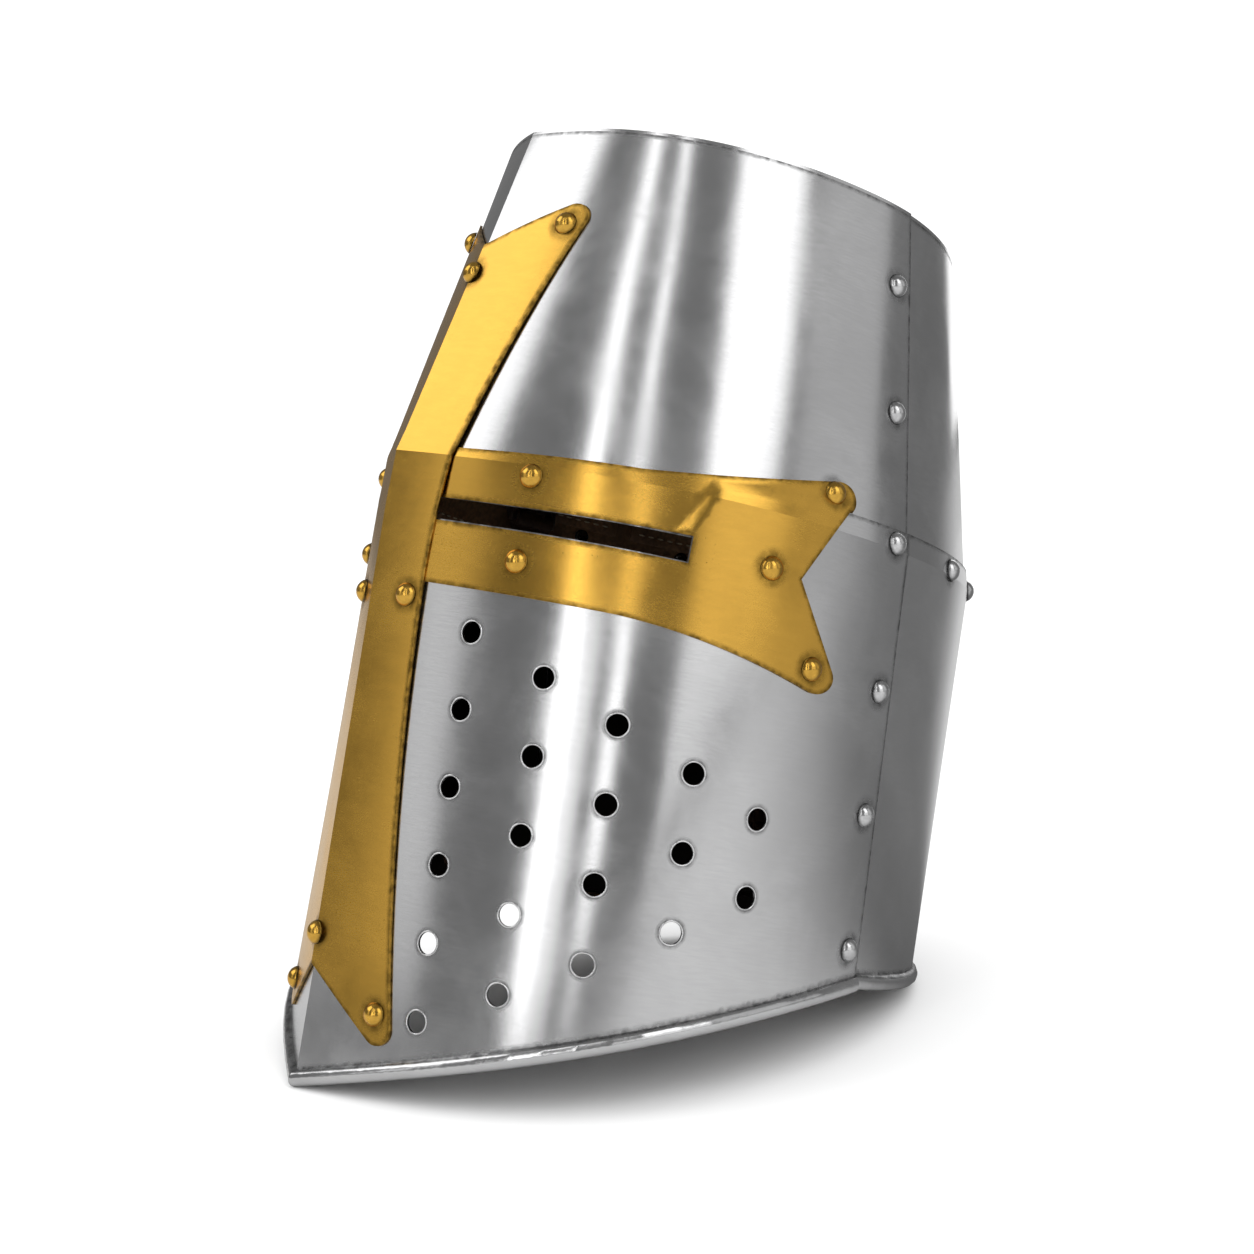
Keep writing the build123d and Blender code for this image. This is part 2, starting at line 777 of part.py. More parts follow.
def petal_ring(z, share, d):
    """Ring of the cap at height z: the band's section drawn in towards the lace ring by a share."""
    start = level_poles(band_top, d)
    end = [Vector(q.X, q.Y + lace_ring_back) for q in poles(lace_section, d - petal_inner)]
    return ring([a + (b - a) * share for a, b in zip(start, end)], z)


def cap(d):
    """Solid cap out to offset d: a skirt on the band, then drawn in over a belly to the lace ring."""
    return ruled_solid([
        petal_ring(petal_top, 1, d),
        petal_ring(petal_belly_level, 1 - petal_belly_share, d),
        petal_ring(band_top, 0, d),
        ring(level_poles(petal_foot, d), petal_foot),
    ])


with BuildPart() as liner_petals:
    add(cap(petal_inner + petal_thickness))
    add(cap(petal_inner), mode=Mode.SUBTRACT)
    casing = lace_radius + lace_clearance
    with Locations((0, lace_ring_back, petal_top)):
        Torus(lace_ring_radius, casing + petal_thickness)
        Torus(lace_ring_radius, casing, mode=Mode.SUBTRACT)
        with PolarLocations(0, petal_count, start_angle=180 / petal_count):
            Box(2 * brow_back, petal_slot, 2 * petal_top,
                align=(Align.MIN, Align.CENTER, Align.CENTER), mode=Mode.SUBTRACT)
    drill(seats_of([place for place in liner_arm_places if place[1] > petal_foot]))
finish(liner_petals, "liner_petals")

with BuildPart() as liner_lace:
    with Locations((0, lace_ring_back, petal_top)):
        Torus(lace_ring_radius, lace_radius)
finish(liner_lace, "liner_lace")


# Chin straps

eye_inner = bar_radius + eye_clearance
eye_outer = eye_inner + strap_thickness
loop_half = strap_width / 2 + bar_clearance
plate_seat = seat(strap_bearing, strap_rivet_level, petal_inner)
bar_point = Vector(
    plate_seat.origin.X - loop_plate - bar_standoff,
    plate_seat.origin.Y,
    plate_seat.origin.Z - bar_drop,
)


def swing_plane(point, side):
    """Plane square to a strap's bars, x outwards from the head, y up."""
    return Plane(origin=(side * point.X, point.Y, point.Z), x_dir=(1, 0, 0), z_dir=(0, -1, 0))


def slab(side, point, half_width, points):
    """Prism along a bar's direction with an outline in the swing plane, outwards from the head."""
    with BuildPart() as body:
        with BuildSketch(swing_plane(point, side)):
            with BuildLine():
                Polyline(*[(side * x, y) for x, y in points], close=True)
            make_face()
        extrude(amount=half_width, both=True)
    return body.part


def strap_loop(side, hand):
    """Steel loop: a plate under the arm's tip rivet, two legs and the bar that the strap hangs on."""
    lean = plate_seat.z_dir.Z / plate_seat.z_dir.X
    face = lambda height, depth: (
        bar_standoff + loop_plate - (height - bar_drop) * lean - depth, height)
    top, foot = bar_drop + loop_plate_height / 2, bar_drop - loop_plate_height / 2
    back = loop_gap + loop_plate
    with BuildPart() as loop:
        add(slab(side, bar_point, loop_half + loop_leg, [
            face(foot, loop_gap), face(top, loop_gap), face(top, back), (-bar_radius, bar_radius),
            (-bar_radius, -bar_radius), (bar_radius, -bar_radius)]))
        add(slab(side, bar_point, loop_half, [
            (-overrun, -overrun), (face(foot, back)[0], -overrun), face(foot, back),
            face(top, back), (-overrun, face(top, back)[1])]), mode=Mode.SUBTRACT)
        with Locations((side * bar_point.X, bar_point.Y, bar_point.Z)):
            Cylinder(bar_radius, 2 * loop_half + loop_leg, rotation=(90, 0, 0))
        drill([seat(strap_bearing, strap_rivet_level, 2 * steel + brass, side)])
    finish(loop, f"{hand}_strap_loop")


def strap_body(side, length):
    """Strap with an eye folded round its bar, hanging straight down."""
    centre = Location((side * bar_point.X, bar_point.Y, bar_point.Z))
    with BuildPart() as strap:
        with Locations(centre):
            Cylinder(eye_outer, strap_width, rotation=(90, 0, 0))
            Box(strap_thickness, strap_width, length,
                align=(Align.CENTER, Align.CENTER, Align.MAX))
            Cylinder(eye_inner, 2 * strap_width, rotation=(90, 0, 0), mode=Mode.SUBTRACT)
    return strap.part


for side, hand in zip(sides, ("left", "right")):
    strap_loop(side, hand)

buckle_pivot = Vector(bar_point.X, bar_point.Y, bar_point.Z - left_strap_length)
with BuildPart() as left_chin_strap:
    add(strap_body(1, left_strap_length))
    with Locations(buckle_pivot):
        Cylinder(eye_outer, strap_width, rotation=(90, 0, 0))
        Cylinder(eye_inner, 2 * strap_width, rotation=(90, 0, 0), mode=Mode.SUBTRACT)
        Box(3 * eye_outer, tongue_width + 4 * bar_clearance, 4 * eye_outer, mode=Mode.SUBTRACT)
finish(left_chin_strap, "left_chin_strap")

with BuildPart() as right_chin_strap:
    add(strap_body(-1, right_strap_length))
    tip = Location((-bar_point.X, bar_point.Y, bar_point.Z - right_strap_length), (0, 90, 0))
    with Locations(tip):
        Cylinder(strap_width / 2, strap_thickness)
        for i in range(strap_hole_count):
            with Locations((-(i + 1) * strap_hole_pitch, 0)):
                Cylinder(strap_hole_radius, 2 * strap_thickness, mode=Mode.SUBTRACT)
finish(right_chin_strap, "right_chin_strap")

with BuildPart() as buckle_frame:
    frame_half = loop_half + buckle_bar
    with BuildSketch(Plane.YZ.offset(buckle_pivot.X)) as ring:
        with Locations((buckle_pivot.Y, buckle_pivot.Z - buckle_length / 2)):
            Rectangle(2 * frame_half, buckle_length + 2 * bar_radius)
            fillet(ring.vertices(), buckle_corner_radius)
            Rectangle(2 * loop_half, buckle_length - 2 * bar_radius, mode=Mode.SUBTRACT)
    extrude(amount=bar_radius, both=True)
    with Locations(buckle_pivot):
        Box(buckle_bar * 2, 2 * loop_half, 2 * buckle_bar, mode=Mode.SUBTRACT)
        Cylinder(bar_radius, 2 * loop_half + buckle_bar, rotation=(90, 0, 0))
finish(buckle_frame, "buckle_frame")

with BuildPart() as buckle_tongue:
    eye = eye_inner + tongue_thickness
    with BuildSketch(swing_plane(buckle_pivot, 1)):
        Circle(eye)
        with BuildLine():
            Polyline((-eye, 0), (-eye, -buckle_length - bar_radius),
                     (-eye_inner, -buckle_length - bar_radius), (-eye_inner, 0), close=True)
        make_face()
        Circle(eye_inner, mode=Mode.SUBTRACT)
    extrude(amount=tongue_width / 2, both=True)
finish(buckle_tongue, "buckle_tongue")

with BuildPart() as strap_keeper:
    keeper_level = buckle_pivot.Z + 3 * eye_outer
    with BuildSketch(Plane.XY.offset(keeper_level)):
        inner_width = strap_width + 2 * bar_clearance
        inner_depth = 2 * strap_thickness + 2 * bar_clearance
        with Locations((bar_point.X + strap_thickness / 2 - inner_depth / 2, bar_point.Y)):
            Rectangle(inner_depth + 2 * keeper_thickness, inner_width + 2 * keeper_thickness)
            Rectangle(inner_depth, inner_width, mode=Mode.SUBTRACT)
    extrude(amount=keeper_width)
finish(strap_keeper, "strap_keeper")


# Standing on the keel's tip and the back of the rim

front_tip = rim_point(front_rim, 0, 2.5 * steel)
back_feet = rim_route(back_rim, back_run, 1.5 * steel)[:rim_steps // 2]
slopes = [(foot.Z - front_tip.Z) / (foot.Y - front_tip.Y) for foot in back_feet]
lean_back = -degrees(atan2(min(slopes), 1))
leaning = [Location((0, 0, 0), (lean_back, 0, 0)) * piece.part for piece in pieces]
extent = Compound(children=leaning).bounding_box()
set_down = Location((0, -(extent.min.Y + extent.max.Y) / 2, -extent.min.Z), (lean_back, 0, 0))

os.makedirs("parts", exist_ok=True)
for piece in pieces:
    label = piece.part.label
    piece.part = piece.part.moved(set_down)
    piece.part.label = label
    export_step(piece.part, f"parts/{label}.step")
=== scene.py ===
import json
from math import atan2, cos, pi, radians, sin

import bmesh
import bpy
import numpy as np
from mathutils import Matrix, Vector
from mathutils.kdtree import KDTree


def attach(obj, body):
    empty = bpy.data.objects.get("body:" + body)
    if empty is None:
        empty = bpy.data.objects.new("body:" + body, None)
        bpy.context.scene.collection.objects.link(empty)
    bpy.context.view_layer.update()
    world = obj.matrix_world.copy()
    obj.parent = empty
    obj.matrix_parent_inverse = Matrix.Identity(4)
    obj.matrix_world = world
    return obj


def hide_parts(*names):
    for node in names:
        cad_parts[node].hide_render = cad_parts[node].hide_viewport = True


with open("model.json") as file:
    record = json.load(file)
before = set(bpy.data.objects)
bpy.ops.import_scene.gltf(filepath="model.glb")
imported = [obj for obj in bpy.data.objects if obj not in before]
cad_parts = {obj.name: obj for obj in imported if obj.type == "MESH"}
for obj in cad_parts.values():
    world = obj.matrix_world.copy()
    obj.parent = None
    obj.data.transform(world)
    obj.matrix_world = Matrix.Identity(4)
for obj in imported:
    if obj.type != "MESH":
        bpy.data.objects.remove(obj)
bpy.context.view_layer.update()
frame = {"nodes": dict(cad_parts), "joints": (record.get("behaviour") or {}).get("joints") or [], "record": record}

bl_info = {
    "name": "Great helm dresser",
    "version": (1, 0, 0),
    "blender": (4, 5, 0),
    "location": "3D View > Sidebar > Great helm",
    "description": "Finishes, rivets, liner, chin straps and a studio for a riveted great helm",
    "category": "Object",
}

NODES = frame["nodes"]
JOINTS = {joint["name"]: joint for joint in frame["joints"]}
MOUNTS = {mount["name"]: mount for mount in frame["record"]["mounts"]}
MM = 0.001

# The helm's own form in mm: keel forward, half width, widest point, back, keel angle
CROWN = (93.2, 84.3, 7.3, 101.5, radians(9.0))
BROW = (119.0, 108.5, 0.0, 139.0, radians(19.0))
FOOT = (110.9, 108.8, -4.8, 151.5, radians(17.6))
PULLS = (0.598, 0.580, 0.491, 0.520)
CROWN_LEVEL = 131.0
FOOT_LEVEL = -163.0
STEEL = 1.2
BRASS = 1.0
BAND = 2.5
PETAL = 1.8
# Plane that faces a cheek arm, and the edge of the cheek under it: along the arm, and height
ARM_BEARING = radians(50.0)
CHEEK_EDGE = ((21.3, -15.3), (29.3, 2.0), (74.24, 7.52), (120.0, 13.1))
JOGGLE = 7.0
SIGHT_LEVEL = -19.7
# Planes of the two rims: drop below the brow, rise per mm backwards and outwards
FRONT_RIM = (199.5, 0.302, 0.223)
BACK_RIM = (140.1, -0.072, -0.15)
RIM_RADIUS = 3.2
# Liner: edges of the band, foot of the petals, the lace ring and how far the belly draws in
BAND_LEVELS = (-10.0, 17.0)
PETAL_FOOT = 4.5
PETAL_LEVELS = (17.0, 62.0, 92.0)
PETAL_SHARES = (0.0, 0.26, 1.0)
PETAL_COUNT = 8
PETAL_SLOT = 7.0
LACE_RING = 28.0
LACE_BACK = 6.0
LACE = 1.5
# Petals: where the gathers start and are full, their depth, and the level, reach and depth of the sag
GATHER_LEVELS = (58.0, 90.0)
GATHER_DEPTH = 0.7
SAG_LEVEL = 45.0
SAG_REACH = 28.0
SAG_DEPTH = 0.8
# Lines of stitches: height, offset of the leather's face, and whether they run across the slots
STITCH_LINES = ((-6.5, -BAND, True), (8.0, -BAND - PETAL, False), (13.5, -BAND - PETAL, False))
# Breath holes: bearings of the columns in degrees, rows in the first column, top and steps in mm
BREATH_BEARINGS = (23.2, 39.6, 54.5, 69.4, 83.4)
BREATH_ROWS = 6
BREATH_TOP = 62.0
BREATH_PITCH = 27.6
BREATH_STEP = 11.2
# How far the bearing of a hole moves from row to row, in degrees
BREATH_DRIFT = 0.8
# The photo's camera in the helm's frame: its place in mm, and where its right, down and forward point
CAMERA_PLACE = (646.04, -447.18, -98.44)
CAMERA_RIGHT = (0.56329, 0.80195, 0.19895)
CAMERA_DOWN = (0.05469, 0.20407, -0.97743)
CAMERA_AHEAD = (-0.82445, 0.56145, 0.07109)
# Softboxes: name, bearing, width and height range in degrees, brightness; then in metres their
# distance and the height that their angles are taken from
SOFTBOXES = (
    ("front_box", -36, 46, (28, 60), 1.55),
    ("front_low", -15, 12, (3, 26), 0.6),
    ("near_strip", 24, 7, (3, 62), 2.5),
    ("low_strip", 31, 10, (2, 18), 1.1),
    ("far_strip", 46, 6, (3, 62), 2.0),
    ("side_box", 97, 32, (25, 62), 1.6),
    ("side_low", 92, 38, (1, 25), 0.8),
    ("rear_fill", 134, 30, (1, 45), 0.35),
    ("back_box", -148, 22, (1, 45), 1.2),
)
BOX_DISTANCE = 4.0
BOX_LEVEL = 0.18
# Corners nearer than this, in metres, are one
MERGE = 0.000002
# How a plate's facets are told apart: mm off a layer's face, turn against it, area of a sliver
CORNER_SEATED = 0.1
FACE_SEATED = 0.25
FACE_TURNED = 0.97
SLIVER_TURNED = 0.8
SLIVER_AREA = 0.08
# How far a corner may be moved onto the skin, and how far beyond an arm's step it still is
SNAP_REACH = 0.12
STEP_REACH = 1.6
STEP_MARGIN = 1.5
# An arm's cut faces nearer than this to the cheek's edge are part of its step
STEP_CLEAR = 2.0
# Furthest distances that the darkening by edges and rivets, polish residue and painted shade, is measured over
EDGE_REACH = 12.0
RIVET_REACH = 16.0

# How the helm stands in the room: it leans back about its width
hinge_axis = JOINTS["left_strap_swing"]["axis"]
LEAN = atan2(hinge_axis[2], hinge_axis[1])
TURN = np.array([[1, 0, 0], [0, cos(LEAN), -sin(LEAN)], [0, sin(LEAN), cos(LEAN)]])
crown_point = np.array(MOUNTS["crown_top"]["pos_m"]) / MM
ORIGIN = crown_point - TURN @ np.array([0, 0, CROWN_LEVEL])


def to_helm(room):
    """Room points in metres as helm points in mm."""
    return (np.asarray(room, float) / MM - ORIGIN) @ TURN


def to_room(helm):
    """Helm points in mm as room points in metres."""
    return (np.asarray(helm, float) @ TURN.T + ORIGIN) * MM


def bearing_of(points):
    """Bearing of each helm point from the keel, alike on both sides."""
    return np.arctan2(np.abs(points[:, 0]), -points[:, 1])


# Closed form of the plates

def poles(section, d):
    """Control points of the right half of a section, d outside its inner face: keel to back."""
    front, half, widest, back, keel = section
    d = np.asarray(d, float)
    front, half, back, none = front + d / cos(keel), half + d, back + d, 0 * d
    pull = PULLS[0] * half
    x = [none, pull * cos(keel), half, half, half, PULLS[3] * half, none]
    y = [-front, pull * sin(keel) - front, widest - PULLS[1] * (widest + front), widest + none,
         widest + PULLS[2] * (back - widest), back, back]
    return np.stack([np.stack(x), np.stack(y)], -1)


def along(p, s):
    """Points of half sections p at places s: 0 at the keel, 1 at the side, 2 at the back."""
    first = s < 1
    t = np.where(first, s, s - 1)
    q = np.where(first[None, :, None], p[:4], p[3:])
    weights = np.stack([(1 - t) ** 3, 3 * t * (1 - t) ** 2, 3 * t * t * (1 - t), t ** 3])
    return (q * weights[..., None]).sum(0)


def level_poles(z, d, above):
    """Control points at each height z, above or below the brow's bend."""
    far = np.where(above[None, :, None], poles(CROWN, d), poles(FOOT, d))
    share = np.where(above, z / CROWN_LEVEL, z / FOOT_LEVEL)
    brow = poles(BROW, d)
    return brow + (far - brow) * share[None, :, None]


def skin_xy(s, z, d, above):
    """Points of the skin at place s and height z."""
    return along(level_poles(z, d, above), s)


def place_of(bearing, z, d, above):
    """Section place at a bearing from the keel: halved nine times, then read off a straight line."""
    p = level_poles(z, d, above)
    low, high = np.zeros(len(z)), np.full(len(z), 2.0)
    for _ in range(9):
        middle = (low + high) / 2
        x, y = along(p, middle).T
        short = np.arctan2(x, -y) < bearing
        low, high = np.where(short, middle, low), np.where(short, high, middle)
    ends = [np.arctan2(x, -y) for x, y in (along(p, low).T, along(p, high).T)]
    return low + (high - low) * np.clip((bearing - ends[0]) / np.maximum(ends[1] - ends[0], 1e-9), 0, 1)


def offset_of(points, above):
    """How far outside the inner face each helm point lies, measured along its bearing."""
    bearing = bearing_of(points)
    z, reach = points[:, 2], 5.0
    radii = []
    for d in (0.0, reach):
        offset = np.full(len(z), d)
        radii.append(np.linalg.norm(skin_xy(place_of(bearing, z, offset, above), z, offset, above), axis=1))
    return reach * (np.linalg.norm(points[:, :2], axis=1) - radii[0]) / (radii[1] - radii[0])


def skin_normal(points, d, above, left, lift=None):
    """Outward normals of the skin at offset d, each taken on its own side of the bend and keel."""
    bearing = bearing_of(points)
    z = points[:, 2]
    s = place_of(bearing, z, d, above)
    ds, dz = 0.002, 0.5

    def near(place, height):
        flat = np.column_stack([skin_xy(place, height, d, above), height])
        if lift is None:
            return flat
        return np.column_stack([skin_xy(place, height, d + lift(flat) - lift(points), above), height])

    run = near(np.minimum(s + ds, 2), z) - near(np.maximum(s - ds, 0), z)
    rise = near(s, z + dz) - near(s, z - dz)
    normal = np.cross(run, rise)
    normal /= np.linalg.norm(normal, axis=1)[:, None]
    normal[:, 0] *= np.where(left, 1, -1)
    return normal


def skin_at(bearing_deg, z, d, side=1):
    """Point and outward normal of the skin, in helm mm, at one bearing and height."""
    z = np.array([float(z)])
    d = np.array([float(d)])
    above = z > 0
    s = place_of(np.array([radians(bearing_deg)]), z, d, above)
    xy = skin_xy(s, z, d, above)[0]
    point = np.array([[side * xy[0], xy[1], z[0]]])
    return point[0], skin_normal(point, d, above, np.array([side > 0]))[0]


# Sizes and colours a user would change

class HelmFinish(bpy.types.PropertyGroup):
    """Colours and surface of the metals."""
    steel_colour: bpy.props.FloatVectorProperty(
        name="Steel", description="Colour of the polished sheet", subtype="COLOR", size=3,
        min=0, max=1, default=(0.72, 0.72, 0.725))
    steel_roughness: bpy.props.FloatProperty(
        name="Steel roughness", description="How far the steel blurs what it mirrors",
        subtype="FACTOR", min=0, max=1, default=0.18)
    brass_colour: bpy.props.FloatVectorProperty(
        name="Brass", description="Colour of the polished brass", subtype="COLOR", size=3,
        min=0, max=1, default=(0.80, 0.46, 0.08))
    brass_roughness: bpy.props.FloatProperty(
        name="Brass roughness", description="How far the brass blurs what it mirrors",
        subtype="FACTOR", min=0, max=1, default=0.22)
    iron_colour: bpy.props.FloatVectorProperty(
        name="Iron", description="Colour of loops, buckle and rim wire", subtype="COLOR", size=3,
        min=0, max=1, default=(0.30, 0.29, 0.28))
    # Grime: how dark the edges and the rings round rivets get, polish residue and painted shade
    grime_and_shade: bpy.props.FloatProperty(
        name="Grime", description="Strength of the dark polish left round rivets and edges",
        subtype="FACTOR", min=0, max=1, default=0.7)


class HelmHardware(bpy.types.PropertyGroup):
    """Sizes of rivets and breaths."""
    head_radius: bpy.props.FloatProperty(
        name="Rivet head radius", description="Radius of a rivet's round head", unit="LENGTH",
        default=0.0045)
    head_height: bpy.props.FloatProperty(
        name="Rivet head height", description="Height of a rivet's round head", unit="LENGTH",
        default=0.0034)
    tail_radius: bpy.props.FloatProperty(
        name="Rivet tail radius", description="Radius of the burred end inside", unit="LENGTH",
        default=0.0032)
    tail_height: bpy.props.FloatProperty(
        name="Rivet tail height", description="Thickness of the burred end inside", unit="LENGTH",
        default=0.001)
    breath_radius: bpy.props.FloatProperty(
        name="Breath radius", description="Radius of a breath hole", unit="LENGTH", default=0.004)
    breath_lip: bpy.props.FloatProperty(
        name="Breath lip", description="Radius of the burnished lip round a breath",
        unit="LENGTH", default=0.00035)
    mesh_spacing: bpy.props.FloatProperty(
        name="Mesh spacing", description="Longest edge left in a dressed plate", unit="LENGTH",
        default=0.004)


class HelmLeather(bpy.types.PropertyGroup):
    """Colours and sizes of the liner and the straps."""
    liner_colour: bpy.props.FloatVectorProperty(
        name="Liner", description="Colour of the liner's hide", subtype="COLOR", size=3,
        min=0, max=1, default=(0.23, 0.125, 0.06))
    strap_colour: bpy.props.FloatVectorProperty(
        name="Straps", description="Colour of the chin straps", subtype="COLOR", size=3,
        min=0, max=1, default=(0.06, 0.032, 0.018))
    thread_colour: bpy.props.FloatVectorProperty(
        name="Thread", description="Colour of linen thread and lace", subtype="COLOR", size=3,
        min=0, max=1, default=(0.55, 0.47, 0.34))
    stitch_pitch: bpy.props.FloatProperty(
        name="Stitch pitch", description="Distance from stitch to stitch", unit="LENGTH",
        default=0.0045)
    stitch_length: bpy.props.FloatProperty(
        name="Stitch length", description="Length of one stitch that shows", unit="LENGTH",
        default=0.003)
    stitch_radius: bpy.props.FloatProperty(
        name="Stitch radius", description="Half the thread's thickness", unit="LENGTH",
        default=0.0004)


class HelmStudio(bpy.types.PropertyGroup):
    """Floor, lights and camera."""
    floor_radius: bpy.props.FloatProperty(
        name="Floor radius", description="Radius of the pale floor", unit="LENGTH", default=30.0)
    floor_colour: bpy.props.FloatVectorProperty(
        name="Floor", description="Colour of the floor", subtype="COLOR", size=3,
        min=0, max=1, default=(0.92, 0.92, 0.92))
    room_light: bpy.props.FloatProperty(
        name="Room light", description="Light that falls evenly from all round", min=0, default=1.2)
    room_in_metal: bpy.props.FloatProperty(
        name="Room in metal", description="How bright the room is where metal mirrors it",
        min=0, default=0.18)
    lens: bpy.props.FloatProperty(
        name="Lens", description="Focal length on a 36 mm wide frame", subtype="DISTANCE_CAMERA",
        default=55.92)


def finish_props():
    """The metals' settings."""
    return bpy.context.scene.helm_finish


def hardware():
    """The sizes of rivets and breath holes."""
    return bpy.context.scene.helm_hardware


def leather():
    """The settings of liner and straps."""
    return bpy.context.scene.helm_leather


def studio():
    """The settings of the stage."""
    return bpy.context.scene.helm_studio


# Materials

class Wiring:
    """Short calls that add nodes to a tree and feed their inputs."""
    prefix = ""

    def node(self, kind, settings=(), **inputs):
        """A node of one kind, with its settings and its input values or links."""
        made = self.tree.nodes.new(self.prefix + kind)
        for key, value in dict(settings).items():
            setattr(made, key, value)
        for key, value in inputs.items():
            self.feed(made.inputs[key.replace("_", " ")], value)
        return made

    def feed(self, socket, value):
        """Links an output to a socket, or sets its value."""
        if isinstance(value, bpy.types.NodeSocket):
            self.tree.links.new(value, socket)
        else:
            socket.default_value = value


class Recipe(Wiring):
    """A material's node tree, built by short calls."""
    prefix = "ShaderNode"

    def __init__(self, name):
        self.material = bpy.data.materials.new(name)
        self.material.use_nodes = True
        self.tree = self.material.node_tree
        self.shader = self.tree.nodes["Principled BSDF"]

    def surface(self, **inputs):
        """Values or links of the shader's own sockets."""
        for key, value in inputs.items():
            self.feed(self.shader.inputs[key.replace("_", " ")], value)

    def helm_place(self, scale=(1, 1, 1)):
        """Object coordinates turned upright with the helm, in metres, then scaled."""
        place = self.node("TexCoord").outputs["Object"]
        turned = self.node("Mapping", Vector=place, Rotation=(-LEAN, 0, 0)).outputs["Vector"]
        return self.node("Mapping", Vector=turned, Scale=scale).outputs["Vector"]

    def noise(self, vector, scale, detail=3.0, roughness=0.5, distortion=0.0):
        made = self.node("TexNoise", Vector=vector, Scale=scale, Detail=detail,
                         Roughness=roughness, Distortion=distortion)
        return made.outputs["Fac"]

    def spread(self, value, low, high, to_low=0.0, to_high=1.0):
        """A value brought smoothly from one range to another."""
        made = self.node("MapRange", {"interpolation_type": "SMOOTHSTEP"}, Value=value)
        for key, number in zip(("From Min", "From Max", "To Min", "To Max"), (low, high, to_low, to_high)):
            made.inputs[key].default_value = number
        return made.outputs["Result"]

    def math(self, operation, a, b=0.0):
        made = self.node("Math", {"operation": operation})
        self.feed(made.inputs[0], a)
        self.feed(made.inputs[1], b)
        return made.outputs[0]

    def blend(self, factor, a, b):
        """A colour between a and b."""
        made = self.node("Mix", {"data_type": "RGBA"})
        self.feed(made.inputs[0], factor)
        self.feed(made.inputs[6], a if isinstance(a, bpy.types.NodeSocket) else (*a, 1))
        self.feed(made.inputs[7], b if isinstance(b, bpy.types.NodeSocket) else (*b, 1))
        return made.outputs[2]

    def bump(self, height, strength, distance, after=None):
        made = self.node("Bump", Height=height, Strength=strength, Distance=distance)
        if after is not None:
            self.feed(made.inputs["Normal"], after)
        return made.outputs["Normal"]

    def attribute(self, name):
        return self.node("Attribute", {"attribute_name": name}).outputs["Fac"]


def tone(colour, share):
    """A colour made lighter or darker."""
    return tuple(min(1.0, c * share) for c in colour)


def sheet_metal(name, colour, roughness, brushing, speckle, dent):
    """Polished sheet: long brush marks, soft dents, dark specks, darkening by edges and rivets that is both polish
    residue and painted shade, and inner faces painted near black as shade.
    """
    recipe = Recipe(name)
    grime_and_shade = finish_props().grime_and_shade
    place = recipe.helm_place()
    brushed = recipe.helm_place(brushing)
    marks = recipe.noise(brushed, 900.0, 4.0, 0.65)
    streaks = recipe.noise(brushed, 120.0, 3.0, 0.6)
    clouds = recipe.noise(place, 22.0, 4.0, 0.6, 0.4)
    dents = recipe.noise(place, 17.0, 1.5, 0.45)
    specks = recipe.spread(recipe.noise(place, 1300.0, 2.0, 0.7), 0.66, 0.74)
    patches = recipe.spread(recipe.noise(place, 40.0, 2.0), 0.42, 0.7)
    specks = recipe.math("MULTIPLY", recipe.math("MULTIPLY", specks, patches), speckle)
    ragged = recipe.spread(recipe.noise(place, 260.0, 3.0, 0.7), 0.3, 0.7, 0.5, 1.4)
    # Darker near cut edges, in the rim's crease and in rings round rivets, down to 0.16 of the colour: polish
    # residue and painted shade
    by_edge = recipe.spread(recipe.attribute("edge_mm"), 0.2, 2.2, grime_and_shade, 0.0)
    by_edge = recipe.math("MULTIPLY", by_edge, ragged)
    by_rivet = recipe.spread(recipe.attribute("rivet_mm"), 4.4, 8.5, grime_and_shade * 0.85, 0.0)
    by_rivet = recipe.math("MULTIPLY", by_rivet, ragged)
    residue_and_shade = recipe.math("MAXIMUM", recipe.math("MAXIMUM", by_edge, by_rivet), specks)
    residue_and_shade = recipe.math("MINIMUM", residue_and_shade, 0.92)
    base = recipe.blend(recipe.spread(clouds, 0.3, 0.72), tone(colour, 0.90), tone(colour, 1.06))
    base = recipe.blend(recipe.spread(streaks, 0.35, 0.65, 0.0, 0.25), base, tone(colour, 0.82))
    base = recipe.blend(residue_and_shade, base, tone(colour, 0.16))
    # Inner faces painted near black: painted shade of the helm's inside
    inside = recipe.attribute("inside")
    painted_inner_shade = recipe.blend(clouds, (0.012, 0.011, 0.010), (0.035, 0.03, 0.026))
    base = recipe.blend(inside, base, painted_inner_shade)
    blur = recipe.spread(clouds, 0.25, 0.75, roughness - 0.03, roughness + 0.05)
    blur = recipe.math("ADD", blur, recipe.spread(marks, 0.3, 0.7, -0.03, 0.03))
    blur = recipe.math("ADD", blur, recipe.math("MULTIPLY", residue_and_shade, 0.2))
    blur = recipe.math("MAXIMUM", blur, recipe.math("MULTIPLY", inside, 0.6))
    normal = recipe.bump(dents, 0.35, dent)
    normal = recipe.bump(marks, 0.05, 0.00004, normal)
    recipe.surface(Metallic=1.0, Base_Color=base, Roughness=blur, Normal=normal)
    return recipe.material


def plain_metal(name, colour, roughness, waviness=0.00008):
    """Small turned or filed metal parts."""
    recipe = Recipe(name)
    place = recipe.helm_place()
    clouds = recipe.noise(place, 160.0, 4.0, 0.6, 0.3)
    marks = recipe.noise(place, 900.0, 3.0, 0.7)
    base = recipe.blend(recipe.spread(clouds, 0.3, 0.7), tone(colour, 0.72), tone(colour, 1.08))
    blur = recipe.spread(clouds, 0.3, 0.7, roughness - 0.05, roughness + 0.12)
    normal = recipe.bump(clouds, 0.4, waviness)
    normal = recipe.bump(marks, 0.15, 0.00003, normal)
    recipe.surface(Metallic=1.0, Base_Color=base, Roughness=blur, Normal=normal)
    return recipe.material


